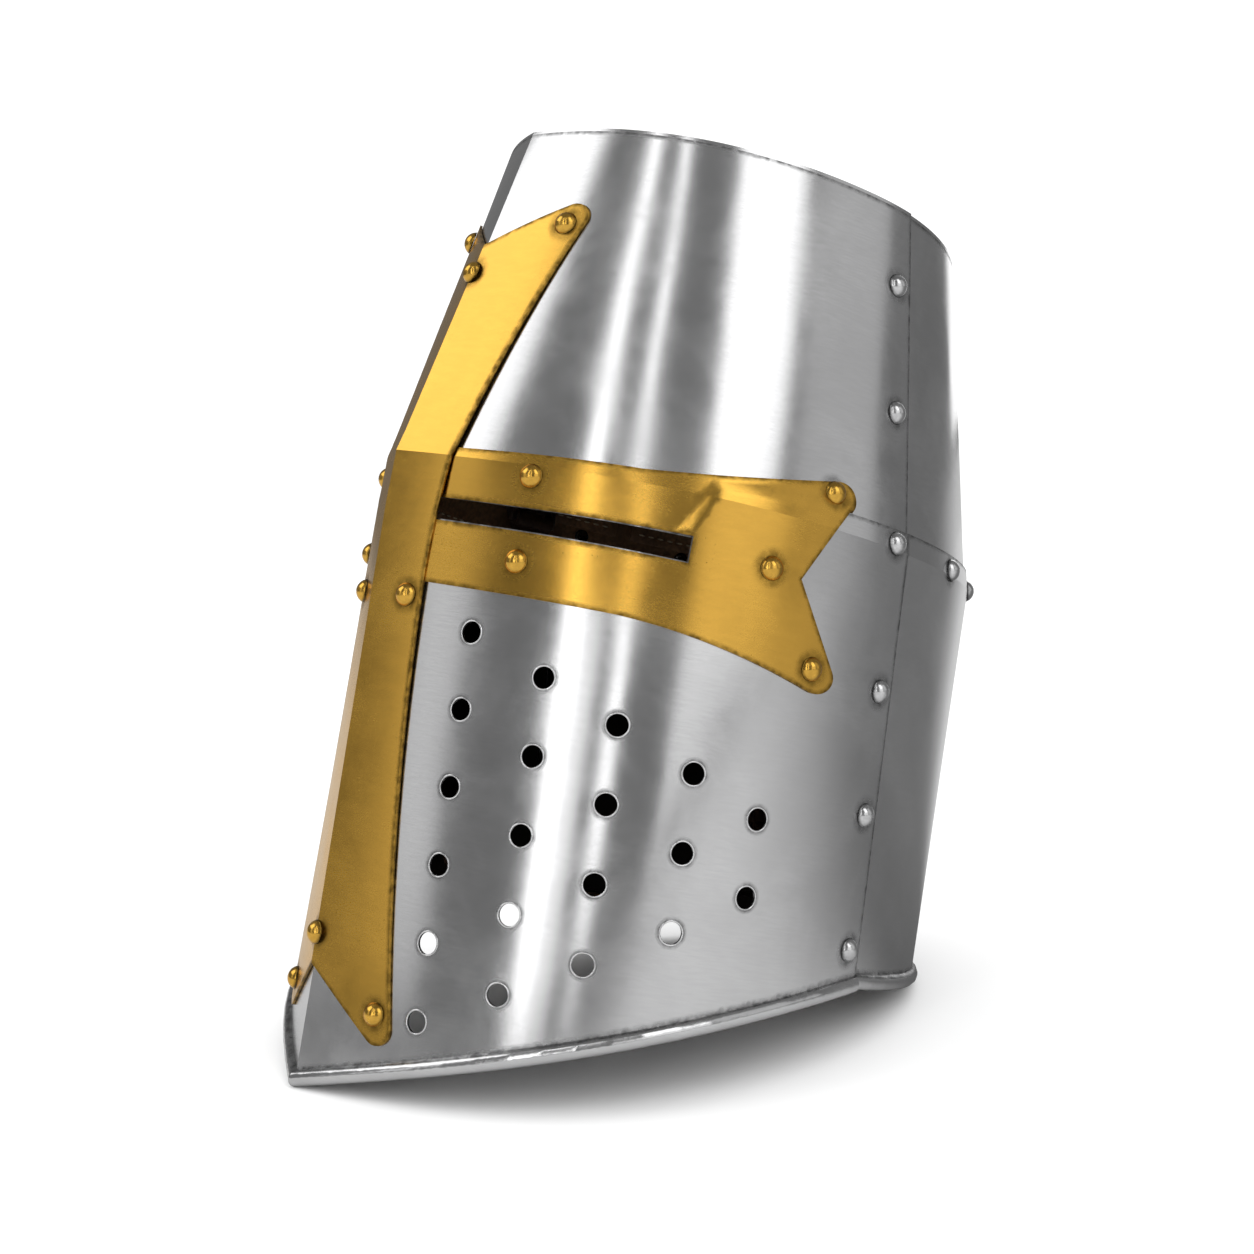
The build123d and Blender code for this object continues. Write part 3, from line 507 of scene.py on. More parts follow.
def rivet_metal(name, colour, roughness):
    """A rivet: a bright worn dome, dark round its foot with polish residue and painted shade."""
    recipe = Recipe(name)
    place = recipe.helm_place()
    clouds = recipe.noise(place, 420.0, 3.0, 0.6, 0.3)
    # Darker towards the dome's foot, where it meets the plate: polish residue and painted shade
    foot = recipe.spread(recipe.attribute("foot"), 0.0, 0.42, 1.0, 0.0)
    ragged = recipe.spread(clouds, 0.3, 0.7, 0.6, 1.2)
    residue_and_shade = recipe.math("MINIMUM", recipe.math("MULTIPLY", foot, ragged), 0.95)
    worn = recipe.blend(recipe.spread(clouds, 0.3, 0.7), tone(colour, 0.86), tone(colour, 1.1))
    base = recipe.blend(residue_and_shade, worn, tone(colour, 0.1))
    blur = recipe.spread(clouds, 0.3, 0.7, roughness - 0.04, roughness + 0.08)
    normal = recipe.bump(clouds, 0.35, 0.00012)
    recipe.surface(Metallic=1.0, Base_Color=base, Roughness=blur, Normal=normal)
    return recipe.material


def hide(name, colour, roughness, grain):
    """Leather: pebbled grain over soft folds, paler where it is rubbed."""
    recipe = Recipe(name)
    place = recipe.helm_place()
    cells = recipe.node("TexVoronoi", {"feature": "SMOOTH_F1"}, Vector=place, Scale=grain)
    pebbles = cells.outputs["Distance"]
    folds = recipe.noise(place, 45.0, 4.0, 0.6, 0.5)
    clouds = recipe.noise(place, 30.0, 3.0, 0.6)
    base = recipe.blend(recipe.spread(clouds, 0.3, 0.7), tone(colour, 0.7), tone(colour, 1.35))
    base = recipe.blend(recipe.spread(pebbles, 0.2, 0.7, 0.0, 0.5), base, tone(colour, 0.45))
    blur = recipe.spread(clouds, 0.3, 0.7, roughness - 0.06, roughness + 0.1)
    normal = recipe.bump(folds, 0.5, 0.0008)
    normal = recipe.bump(pebbles, 0.5, 0.00025, normal)
    recipe.surface(Base_Color=base, Roughness=blur, Normal=normal, Specular_IOR_Level=0.4)
    return recipe.material


def thread(name, colour):
    """Waxed linen thread and lace."""
    recipe = Recipe(name)
    place = recipe.helm_place()
    fibres = recipe.noise(place, 1800.0, 4.0, 0.7)
    base = recipe.blend(recipe.spread(fibres, 0.3, 0.7), tone(colour, 0.6), tone(colour, 1.2))
    recipe.surface(Base_Color=base, Roughness=0.75, Normal=recipe.bump(fibres, 0.6, 0.0001))
    return recipe.material


def finish(name):
    """The finish of that name, made on first use."""
    if name in bpy.data.materials:
        return bpy.data.materials[name]
    metals, hides = finish_props(), leather()
    makers = {
        "steel_polish": lambda: sheet_metal(
            name, metals.steel_colour, metals.steel_roughness, (1.0, 1.0, 14.0), 0.12, 0.0012),
        "brass_polish": lambda: sheet_metal(
            name, metals.brass_colour, metals.brass_roughness, (1.0, 1.0, 4.0), 0.8, 0.0013),
        "steel_rivet": lambda: rivet_metal(name, metals.steel_colour, 0.2),
        "brass_rivet": lambda: rivet_metal(name, metals.brass_colour, 0.2),
        "burnished_lip": lambda: plain_metal(name, tone(metals.steel_colour, 1.25), 0.2),
        "dark_iron": lambda: plain_metal(name, metals.iron_colour, 0.42),
        "liner_hide": lambda: hide(name, hides.liner_colour, 0.62, 700.0),
        "strap_hide": lambda: hide(name, hides.strap_colour, 0.5, 900.0),
        "linen": lambda: thread(name, hides.thread_colour),
    }
    return makers[name]()


# Dressing pieces

def add_piece(name, mesh, body, finish_name, slot, replaced=()):
    """Puts a finished mesh in the scene, on its body, in place of the nodes it stands for."""
    piece = bpy.data.objects.new(name, mesh)
    bpy.context.scene.collection.objects.link(piece)
    mesh.materials.clear()
    mesh.materials.append(finish(finish_name))
    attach(piece, body)
    if replaced:
        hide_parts(*replaced)
    return piece


def blacken(*nodes):
    """Gives small iron parts, which keep their CAD meshes, their finish."""
    for node in nodes:
        NODES[node].data.materials.clear()
        NODES[node].data.materials.append(finish("dark_iron"))


def arrays(mesh):
    """Vertex places, triangle corners and face normals of a triangle mesh."""
    co = np.empty(len(mesh.vertices) * 3)
    mesh.vertices.foreach_get("co", co)
    corners = np.empty(len(mesh.loops), int)
    mesh.loops.foreach_get("vertex_index", corners)
    normals = np.empty(len(mesh.polygons) * 3)
    mesh.polygons.foreach_get("normal", normals)
    return co.reshape(-1, 3), corners.reshape(-1, 3), normals.reshape(-1, 3)


def merged(node):
    """A copy of a node's mesh to work on, with its corners joined."""
    work = bmesh.new()
    work.from_mesh(NODES[node].data)
    bmesh.ops.remove_doubles(work, verts=work.verts, dist=MERGE)
    return work


def kept(work, name):
    """The mesh that a finished work copy leaves."""
    mesh = bpy.data.meshes.new(name)
    work.to_mesh(mesh)
    work.free()
    return mesh


def smooth(mesh):
    """Shades every face smooth."""
    mesh.polygons.foreach_set("use_smooth", np.ones(len(mesh.polygons), bool))
    return mesh


def put(mesh, name, values, domain="POINT"):
    """Writes one number for each point or face of a mesh."""
    mesh.attributes.new(name, "FLOAT", domain).data.foreach_set("value", np.asarray(values, np.float32))


def fine_mesh(node, spacing):
    """A copy of a node's mesh with its corners joined and no edge longer than the spacing."""
    work = merged(node)
    for _ in range(8):
        long_edges = [edge for edge in work.edges if edge.calc_length() > spacing]
        if not long_edges:
            break
        bmesh.ops.subdivide_edges(work, edges=long_edges, cuts=1)
        bmesh.ops.triangulate(work, faces=[face for face in work.faces if len(face.verts) > 3])
    return kept(work, node + "_fine")


def islands(work):
    """Groups of joined vertices, in the order of their first vertices."""
    seen = set()
    for start in work.verts:
        if start in seen:
            continue
        seen.add(start)
        island, open_ends = [], [start]
        while open_ends:
            vertex = open_ends.pop()
            island.append(vertex)
            for edge in vertex.link_edges:
                other = edge.other_vert(vertex)
                if other not in seen:
                    seen.add(other)
                    open_ends.append(other)
        yield island


SEATS = {}


def rivet_points():
    """Every rivet's seat on the outer skin, in room metres, by node: (seat, normal, grip)."""
    if SEATS:
        return SEATS
    head = hardware().head_height
    for node in NODES:
        if not node.endswith("_rivets"):
            continue
        work = merged(node)
        rows = []
        for island in islands(work):
            places = np.array([vertex.co for vertex in island])
            middle = (places.min(0) + places.max(0)) / 2
            helm = to_helm(middle[None, :])
            above = helm[:, 2] > -1.5
            normal = skin_normal(helm, offset_of(helm, above), above, helm[:, 0] > 0)[0]
            if abs(helm[0, 0]) < 1.0:
                normal[0] = 0.0
                normal /= np.linalg.norm(normal)
            normal = TURN @ normal
            reach = (places - middle) @ normal
            seat = middle + normal * (reach.max() - head)
            grip = reach.max() - reach.min() - head - hardware().tail_height
            rows.append((seat, normal, grip))
        work.free()
        SEATS[node] = rows
    return SEATS


def distances(places, points, most):
    """Distance in mm from each place to the nearest of the points, no more than the most."""
    tree = KDTree(len(points))
    for index, point in enumerate(points):
        tree.insert(point, index)
    tree.balance()
    return np.array([min(tree.find(place)[2] / MM, most) for place in places], np.float32)


def nearest_offset(offsets, z, measured):
    """The layer face nearest to each measured offset, and its number."""
    allowed = np.stack([o(z) if callable(o) else np.full(len(z), o) for o in offsets])
    layer = np.abs(allowed - measured).argmin(0)
    return allowed[layer, np.arange(len(z))], layer


def above_rim(helm, rim):
    """Height of helm points over a rim's middle line, square to its plane."""
    drop, rise, flare = rim
    over = helm[:, 2] + drop - rise * helm[:, 1] - flare * np.abs(helm[:, 0])
    return over / np.sqrt(1 + rise ** 2 + flare ** 2)


def above_cheek(helm):
    """How far helm points lie over the cheek's edge, on the plane that faces the arm."""
    x = np.abs(helm[:, 0]) * cos(ARM_BEARING) + helm[:, 1] * sin(ARM_BEARING)
    point = np.column_stack([x, helm[:, 2]])
    best = np.full(len(x), 1e3)
    over = np.zeros(len(x), bool)
    for a, b in zip(CHEEK_EDGE, CHEEK_EDGE[1:]):
        a, b = np.array(a), np.array(b)
        t = np.clip(((point - a) @ (b - a)) / ((b - a) @ (b - a)), 0, 1)
        gap = point - (a + t[:, None] * (b - a))
        away = np.linalg.norm(gap, axis=1)
        side = (b - a)[0] * gap[:, 1] - (b - a)[1] * gap[:, 0] > 0
        over = np.where(away < best, side, over)
        best = np.minimum(best, away)
    over &= helm[:, 2] > SIGHT_LEVEL
    return np.where(over, best, -best)


def joggle(helm):
    """How much the arm rises from the upper plate onto the lower one, from 0 to the steel's thickness."""
    t = np.clip(1 - above_cheek(helm) / JOGGLE, 0, 1)
    return STEEL * t * t * (3 - 2 * t)


def onto_skin(helm, snap, offset, reach):
    """Moves the chosen points along their bearing onto the skin at their offset, where it is in reach."""
    points, d = helm[snap], offset[snap]
    z = points[:, 2]
    above = z > 0
    exact = skin_xy(place_of(bearing_of(points), z, d, above), z, d, above)
    away = np.linalg.norm(exact - np.column_stack([np.abs(points[:, 0]), points[:, 1]]), axis=1)
    close = away < reach
    points[close, 0] = exact[close, 0] * np.sign(points[close, 0])
    points[close, 1] = exact[close, 1]
    helm[snap] = points


def lid_faces(centres, face_normals, measured):
    """The crown's flat faces, and the normals that they all share."""
    upright = face_normals[face_normals[:, 2] > 0.999].mean(0)
    height = centres @ upright
    flat = (np.abs(face_normals[:, 2]) > 0.9) | (measured < 0)
    lower = height[flat] < (height.min() + height.max()) / 2
    return flat, np.where(lower, -1, 1)[:, None] * (upright @ TURN.T)


def dress_plate(node, finish_name, slot, offsets, rim=None, step=False):
    """Replaces a plate's facets by a fine mesh that lies on its closed form and mirrors cleanly."""
    mesh = fine_mesh(node, hardware().mesh_spacing)
    co, corners, normals = arrays(mesh)
    helm = to_helm(co)
    face_normals = normals @ TURN
    centres = helm[corners].mean(1)
    above = centres[:, 2] > 0
    left = centres[:, 0] > 0

    # Which faces lie on a layer's inner or outer face, and which way they turn
    measured = offset_of(centres, above)
    nearest, _ = nearest_offset(offsets, centres[:, 2], measured)
    facing = (skin_normal(centres, nearest, above, left) * face_normals).sum(1)
    corner_measured = offset_of(helm, helm[:, 2] > 0)
    at_corner, layer = nearest_offset(offsets, helm[:, 2], corner_measured)
    seated = np.abs(at_corner - corner_measured) < CORNER_SEATED
    level = (layer[corners] == layer[corners[:, :1]]).all(1) & seated[corners].all(1)
    area = np.linalg.norm(np.cross(helm[corners[:, 1]] - helm[corners[:, 0]],
                                   helm[corners[:, 2]] - helm[corners[:, 0]]), axis=1)
    sliver = (area < SLIVER_AREA) | (np.abs(facing) > SLIVER_TURNED)
    lies_along = (np.abs(facing) > FACE_TURNED) | (level & sliver)
    on_skin = (np.abs(nearest - measured) < FACE_SEATED) & lies_along
    facing = np.where(np.abs(facing) > 0.5, facing, 1.0 - 2.0 * (layer[corners[:, 0]] % 2 == 0))
    bead = np.zeros(len(centres), bool)
    if rim:
        bead = above_rim(centres, rim) < RIM_RADIUS + 0.1
        on_skin &= ~bead

    # Corners moved onto the exact skin, and along the arm's step
    vertex_offset = np.full(len(helm), np.nan)
    vertex_offset[corners[on_skin].ravel()] = np.repeat(nearest[on_skin], 3)
    snap = ~np.isnan(vertex_offset)
    if step:
        raised = np.where(snap, vertex_offset, at_corner)
        over = above_cheek(helm)
        outer = corner_measured > np.where(over > 0.7, 2 * STEEL, 3 * STEEL) + BRASS / 2
        rising = np.abs(over) < JOGGLE + STEP_MARGIN
        vertex_offset = np.where(rising, 2 * STEEL + joggle(helm) + np.where(outer, BRASS, 0.0), raised)
        snap = snap | rising
    onto_skin(helm, snap, vertex_offset, STEP_REACH if step else SNAP_REACH)
    mesh.vertices.foreach_set("co", to_room(helm).ravel())
    mesh.update()

    # Exact normals on the skin, and softened ones where a cut face meets it
    smooth(mesh)
    mesh.set_sharp_from_angle(angle=radians(35))
    corner_normals = np.empty(len(mesh.loops) * 3)
    mesh.corner_normals.foreach_get("vector", corner_normals)
    corner_normals = corner_normals.reshape(-1, 3, 3)
    flat = corners[on_skin].ravel()
    exact = skin_normal(helm[flat], np.repeat(nearest[on_skin], 3), np.repeat(above[on_skin], 3),
                        np.repeat(left[on_skin], 3), joggle if step else None)
    exact *= np.repeat(np.sign(facing[on_skin]), 3)[:, None]
    exact = exact @ TURN.T
    corner_normals[on_skin] = exact.reshape(-1, 3, 3)
    lid = np.zeros(len(centres), bool)
    if node == "crown_plate":
        lid, lid_normals = lid_faces(centres, face_normals, measured)
        corner_normals[lid] = lid_normals[:, None]
    by_vertex = np.zeros((len(helm), 3))
    np.add.at(by_vertex, flat, exact)
    size = np.linalg.norm(by_vertex, axis=1)
    touched = (size > 0)[corners] & ~(on_skin | bead | lid)[:, None]
    rounded = corner_normals[touched] + by_vertex[corners[touched]] / size[corners[touched]][:, None]
    corner_normals[touched] = rounded / np.maximum(np.linalg.norm(rounded, axis=1), 1e-9)[:, None]
    mesh.normals_split_custom_set(corner_normals.reshape(-1, 3).tolist())

    # How far each corner lies from the plate's edges and from the rivets, for the darkening there that is polish
    # residue and painted shade
    room = to_room(helm)
    cut = ~(on_skin | bead | lid)
    if step:
        cut &= (np.abs(above_cheek(centres)) > STEP_CLEAR) | (outer[corners].min(1) != outer[corners].max(1))
    to_edge = distances(room, room[np.unique(corners[cut])], EDGE_REACH)
    # Round the rim's bead: darkest in the crease where the bead meets the plate, fading down the bead, painted
    # shade with polish residue
    if rim:
        lift = above_rim(helm, rim)
        to_edge = np.minimum(to_edge, np.where(lift > RIM_RADIUS, lift - RIM_RADIUS, EDGE_REACH))
        under = np.clip((RIM_RADIUS - 0.6 - lift) * 3, 0.5, EDGE_REACH)
        to_edge = np.where(lift < RIM_RADIUS, under, to_edge)
    seats = [row[0] for rows in rivet_points().values() for row in rows]
    put(mesh, "edge_mm", to_edge)
    put(mesh, "rivet_mm", distances(room, seats, RIVET_REACH))
    # Inner faces of the steel sheet, which the finish paints near black as shade
    put(mesh, "inside", on_skin & (facing < 0) & (slot == "steel_sheet"), "FACE")
    return add_piece(node + "_dressed", mesh, "helm", finish_name, slot, (node,))


# Geometry Nodes

class Tree(Wiring):
    """A Geometry Nodes tree with named inputs, built by short calls."""

    def __init__(self, name, inputs):
        self.tree = bpy.data.node_groups.new(name, "GeometryNodeTree")
        face = self.tree.interface
        face.new_socket("Geometry", in_out="INPUT", socket_type="NodeSocketGeometry")
        self.identifiers = {}
        for label, kind in inputs.items():
            socket = face.new_socket(label, in_out="INPUT", socket_type="NodeSocket" + kind)
            self.identifiers[label] = socket.identifier
        face.new_socket("Geometry", in_out="OUTPUT", socket_type="NodeSocketGeometry")
        self.entry = self.tree.nodes.new("NodeGroupInput")
        self.exit = self.tree.nodes.new("NodeGroupOutput")

    def named(self, name, kind):
        """A named attribute read from the points."""
        made = self.node("GeometryNodeInputNamedAttribute", {"data_type": kind})
        made.inputs["Name"].default_value = name
        return made.outputs["Attribute"]

    def close(self, geometry):
        """Ends the tree in Realize Instances and Set Material."""
        real = self.node("GeometryNodeRealizeInstances", Geometry=geometry).outputs[0]
        material = self.entry.outputs["Material"]
        painted = self.node("GeometryNodeSetMaterial", Geometry=real, Material=material)
        self.feed(self.exit.inputs[0], painted.outputs[0])
        return self


def points_mesh(name, rows):
    """A mesh of loose points with a direction, a second direction and a length on each."""
    mesh = bpy.data.meshes.new(name)
    mesh.from_pydata([tuple(row[0]) for row in rows], [], [])
    for label, column in (("facing", 1), ("heading", 3)):
        if len(rows[0]) > column:
            data = np.array([row[column] for row in rows], np.float32).ravel()
            mesh.attributes.new(label, "FLOAT_VECTOR", "POINT").data.foreach_set("vector", data)
    put(mesh, "grip", [row[2] for row in rows])
    return mesh


def applied(name, base):
    """The plain mesh that an object's modifiers make. The object goes."""
    bpy.context.view_layer.update()
    made = bpy.data.meshes.new_from_object(base.evaluated_get(bpy.context.evaluated_depsgraph_get()))
    bpy.data.objects.remove(base)
    made.name = name
    return made


def grow(name, mesh, tree, values):
    """Runs a tree on a mesh and returns the plain mesh that it makes."""
    base = bpy.data.objects.new(name + "_points", mesh)
    bpy.context.scene.collection.objects.link(base)
    modifier = base.modifiers.new("grow", "NODES")
    modifier.node_group = tree.tree
    for label, value in values.items():
        modifier[tree.identifiers[label]] = value
    return applied(name, base)


def hidden_object(name, mesh):
    """An object kept out of the scene, for a tree to copy."""
    return bpy.data.objects.new(name, mesh)


def spun(name, profile, steps, attribute=None):
    """A closed mesh turned about Z from (radius, height) points, first and last on the axis."""
    mesh = bpy.data.meshes.new(name)
    rings, faces, verts = [], [], []
    for radius, height in profile:
        if radius == 0:
            rings.append([len(verts)])
            verts.append((0, 0, height))
        else:
            start = len(verts)
            rings.append(list(range(start, start + steps)))
            verts += [(radius * cos(2 * pi * i / steps), radius * sin(2 * pi * i / steps), height)
                      for i in range(steps)]
    for a, b in zip(rings, rings[1:]):
        for i in range(steps):
            j = (i + 1) % steps
            corners = [a[i % len(a)], a[j % len(a)], b[j % len(b)], b[i % len(b)]]
            faces.append(tuple(dict.fromkeys(corners)))
    mesh.from_pydata(verts, [], faces)
    mesh = smooth(joined(name, [mesh]))
    if attribute:
        top = max(v[2] for v in verts)
        put(mesh, attribute, [max(0.0, v[2] / top) for v in verts])
    return mesh


def rivet_tree():
    """Round heads on the points, and burred tails below them by each point's grip."""
    tree = Tree("rivet_set", {"Head": "Object", "Tail": "Object", "Material": "Material"})
    facing = tree.named("facing", "FLOAT_VECTOR")
    turn = tree.node("FunctionNodeAlignRotationToVector", {"axis": "Z"}, Vector=facing).outputs[0]
    minus = tree.node("ShaderNodeMath", {"operation": "MULTIPLY"})
    tree.feed(minus.inputs[0], tree.named("grip", "FLOAT"))
    tree.feed(minus.inputs[1], -1.0)
    down = tree.node("ShaderNodeVectorMath", {"operation": "SCALE"})
    tree.feed(down.inputs[0], facing)
    tree.feed(down.inputs["Scale"], minus.outputs[0])
    lowered = tree.node("GeometryNodeSetPosition", Geometry=tree.entry.outputs["Geometry"],
                        Offset=down.outputs[0]).outputs[0]
    sets = []
    for points, label in ((tree.entry.outputs["Geometry"], "Head"), (lowered, "Tail")):
        cloud = tree.node("GeometryNodeMeshToPoints", Mesh=points).outputs[0]
        shape = tree.node("GeometryNodeObjectInfo", Object=tree.entry.outputs[label]).outputs["Geometry"]
        sets.append(tree.node("GeometryNodeInstanceOnPoints", Points=cloud, Instance=shape,
                              Rotation=turn).outputs[0])
    join = tree.node("GeometryNodeJoinGeometry")
    for one in sets:
        tree.feed(join.inputs[0], one)
    return tree.close(join.outputs[0])


def copies_tree(name):
    """One shape on every point, its Z axis along the facing and its X axis along the heading."""
    tree = Tree(name, {"Shape": "Object", "Material": "Material"})
    turn = tree.node("FunctionNodeAlignRotationToVector", {"axis": "Z"},
                     Vector=tree.named("facing", "FLOAT_VECTOR")).outputs[0]
    turn = tree.node("FunctionNodeAlignRotationToVector", {"axis": "X", "pivot_axis": "Z"}, Rotation=turn,
                     Vector=tree.named("heading", "FLOAT_VECTOR")).outputs[0]
    cloud = tree.node("GeometryNodeMeshToPoints", Mesh=tree.entry.outputs["Geometry"]).outputs[0]
    shape = tree.node("GeometryNodeObjectInfo", Object=tree.entry.outputs["Shape"]).outputs["Geometry"]
    made = tree.node("GeometryNodeInstanceOnPoints", Points=cloud, Instance=shape, Rotation=turn)
    return tree.close(made.outputs[0])


# Operators

class HELM_OT_plates(bpy.types.Operator):
    """Dress the five steel plates"""
    bl_idname = "helm.plates"
    bl_label = "Steel plates"

    def execute(self, context):
        layers = {
            "crown_plate": (STEEL, 2 * STEEL),
            "upper_back_plate": (0.0, STEEL),
            "upper_front_plate": (STEEL, 2 * STEEL),
            "lower_back_plate": (STEEL, 2 * STEEL),
            "lower_front_plate": (2 * STEEL, 3 * STEEL),
        }
        rims = {"lower_back_plate": BACK_RIM, "lower_front_plate": FRONT_RIM}
        for node, offsets in layers.items():
            dress_plate(node, "steel_polish", "steel_sheet", offsets, rims.get(node))
        blacken("front_rim_wire", "back_rim_wire")
        return {"FINISHED"}


def upright_inner(z):
    """Offset of the upright's inner face by height: over the arms in the middle, down at its tips."""
    levels = [-230.8, -47.06, -19.7, 0.0, 8.0, 118.3]
    low, raised = 3 * STEEL, 3 * STEEL + BRASS
    return np.interp(z, levels, [low, raised, raised, low + BRASS / 3, low, 2 * STEEL])


class HELM_OT_cross(bpy.types.Operator):
    """Dress the brass cross"""
    bl_idname = "helm.cross"
    bl_label = "Brass cross"

    def execute(self, context):
        dress_plate("cross_upright", "brass_polish", "brass_sheet",
                    (upright_inner, lambda z: upright_inner(z) + BRASS))
        arm_layers = (2 * STEEL, 2 * STEEL + BRASS, 3 * STEEL, 3 * STEEL + BRASS)
        for hand in ("left", "right"):
            dress_plate(f"{hand}_cross_arm", "brass_polish", "brass_sheet", arm_layers, step=True)
        return {"FINISHED"}


class HELM_OT_rivets(bpy.types.Operator):
    """Set the brass and steel rivets"""
    bl_idname = "helm.rivets"
    bl_label = "Rivets"

    def execute(self, context):
        sizes = hardware()
        r, h = sizes.head_radius, sizes.head_height
        cap = (r * r + h * h) / (2 * h)
        dome = [(cap * sin(a), h - cap + cap * cos(a)) for a in np.linspace(0, np.arcsin(r / cap), 10)]
        foot = 0.00005
        profile = [(0, dome[0][1])] + dome[1:] + [(r, foot), (0, foot)]
        head = hidden_object("rivet_head", spun("rivet_head", profile, 28, "foot"))
        tr, th = sizes.tail_radius, sizes.tail_height
        tail_profile = [(0, 0.0), (tr * 0.9, 0.0), (tr, -th * 0.3), (tr * 0.97, -th * 0.7),
                        (tr * 0.7, -th * 0.97), (0, -th)]
        tail = hidden_object("rivet_tail", spun("rivet_tail", tail_profile, 20))
        tree = rivet_tree()
        points = rivet_points()
        for label, slot, nodes in (
            ("brass", "brass_rivets", ["upright_rivets", "left_arm_rivets", "right_arm_rivets"]),
            ("steel", "steel_rivets", ["left_upper_seam_rivets", "right_upper_seam_rivets",
                                       "left_lower_seam_rivets", "right_lower_seam_rivets", "brow_rivets"]),
        ):
            rows = [row for node in nodes for row in points[node]]
            mesh = grow(f"{label}_rivets_set", points_mesh("seats", rows), tree,
                        {"Head": head, "Tail": tail, "Material": finish(f"{label}_rivet")})
            add_piece(f"{label}_rivets_set", mesh, "helm", f"{label}_rivet", slot, nodes)
        return {"FINISHED"}


class HELM_OT_breaths(bpy.types.Operator):
    """Burnish the lips of the breath holes"""
    bl_idname = "helm.breaths"
    bl_label = "Breath lips"

    def execute(self, context):
        sizes = hardware()
        rows = []
        for side in (1, -1):
            for column, bearing in enumerate(BREATH_BEARINGS):
                for row in range(BREATH_ROWS - column):
                    z = -BREATH_TOP - column * BREATH_STEP - row * BREATH_PITCH
                    point, normal = skin_at(bearing + row * BREATH_DRIFT, z, 3 * STEEL, side)
                    rows.append((to_room(point), TURN @ normal, 0.0, (0, 0, 1)))
        r, lip = sizes.breath_radius, sizes.breath_lip
        around, turn = np.meshgrid(np.linspace(0, 2 * pi, 32, endpoint=False),
                                   np.linspace(0, 2 * pi, 8, endpoint=False))
        out = r + lip * 0.6 + lip * np.cos(turn)
        places = np.stack([out * np.cos(around), out * np.sin(around), lip * np.sin(turn) - lip * 0.3], -1)
        ring = grid_mesh("breath_lip", places, wrap_rows=True, wrap_columns=True)
        lips = {"Shape": hidden_object("breath_lip", ring), "Material": finish("burnished_lip")}
        mesh = grow("breath_lips", points_mesh("breaths", rows), copies_tree("lips"), lips)
        add_piece("breath_lips", mesh, "helm", "burnished_lip", "steel_sheet")
        return {"FINISHED"}


# Meshes from grids and modifiers

def grid_mesh(name, places, wrap_rows=False, wrap_columns=False):
    """A mesh of squares over a grid of room places, closed on itself where asked."""
    rows, columns = places.shape[:2]
    index = np.arange(rows * columns).reshape(rows, columns)
    if wrap_rows:
        index = np.vstack([index, index[:1]])
    if wrap_columns:
        index = np.hstack([index, index[:, :1]])
    faces = np.stack([index[:-1, :-1], index[:-1, 1:], index[1:, 1:], index[1:, :-1]], -1).reshape(-1, 4)
    mesh = bpy.data.meshes.new(name)
    mesh.from_pydata(places.reshape(-1, 3).tolist(), [], faces.tolist())
    return smooth(mesh)


def joined(name, meshes):
    """One mesh from several, its faces turned outwards."""
    work = bmesh.new()
    for mesh in meshes:
        work.from_mesh(mesh)
        bpy.data.meshes.remove(mesh)
    bmesh.ops.recalc_face_normals(work, faces=work.faces)
    return kept(work, name)


def shaped(name, mesh, modifiers):
    """The mesh that a list of (kind, settings) modifiers makes."""
    base = bpy.data.objects.new(name + "_base", mesh)
    bpy.context.scene.collection.objects.link(base)
    for kind, settings in modifiers:
        modifier = base.modifiers.new(kind, kind)
        for key, value in settings.items():
            setattr(modifier, key, value)
    return applied(name, base)


# Liner

def plan_ring(z, d):
    """Closed ring of the liner's section at one height: polar angles round the lace ring, and places."""
    s = np.linspace(0, 2, 241)
    level = min(z, BAND_LEVELS[1])
    outer = skin_xy(s, np.full(len(s), float(level)), np.full(len(s), float(d)), np.full(len(s), level > 0))
    reach = 7.0
    samples = np.interp(z + np.linspace(-reach, reach, 9), PETAL_LEVELS, PETAL_SHARES)
    share = samples.mean() if z < PETAL_LEVELS[2] else samples[4]
    if z <= PETAL_LEVELS[0]:
        share = 0.0
    radius = LACE_RING + (d + BAND + PETAL)
    section = (radius, radius, 0.0, radius, 0.0)
    small = along(poles(section, np.zeros(len(s))), s) + [0, LACE_BACK]
    half = outer + (small - outer) * share
    whole = np.vstack([half, (half * [-1, 1])[::-1]])
    angles = np.unwrap(np.arctan2(whole[:, 0], LACE_BACK - whole[:, 1]))
    return angles, whole


def on_ring(angles, ring):
    """Places of a ring at polar angles from the keel."""
    known, places = ring
    turned = (angles - known[0]) % (2 * pi) + known[0]
    return np.column_stack([np.interp(turned, known, places[:, i]) for i in (0, 1)])


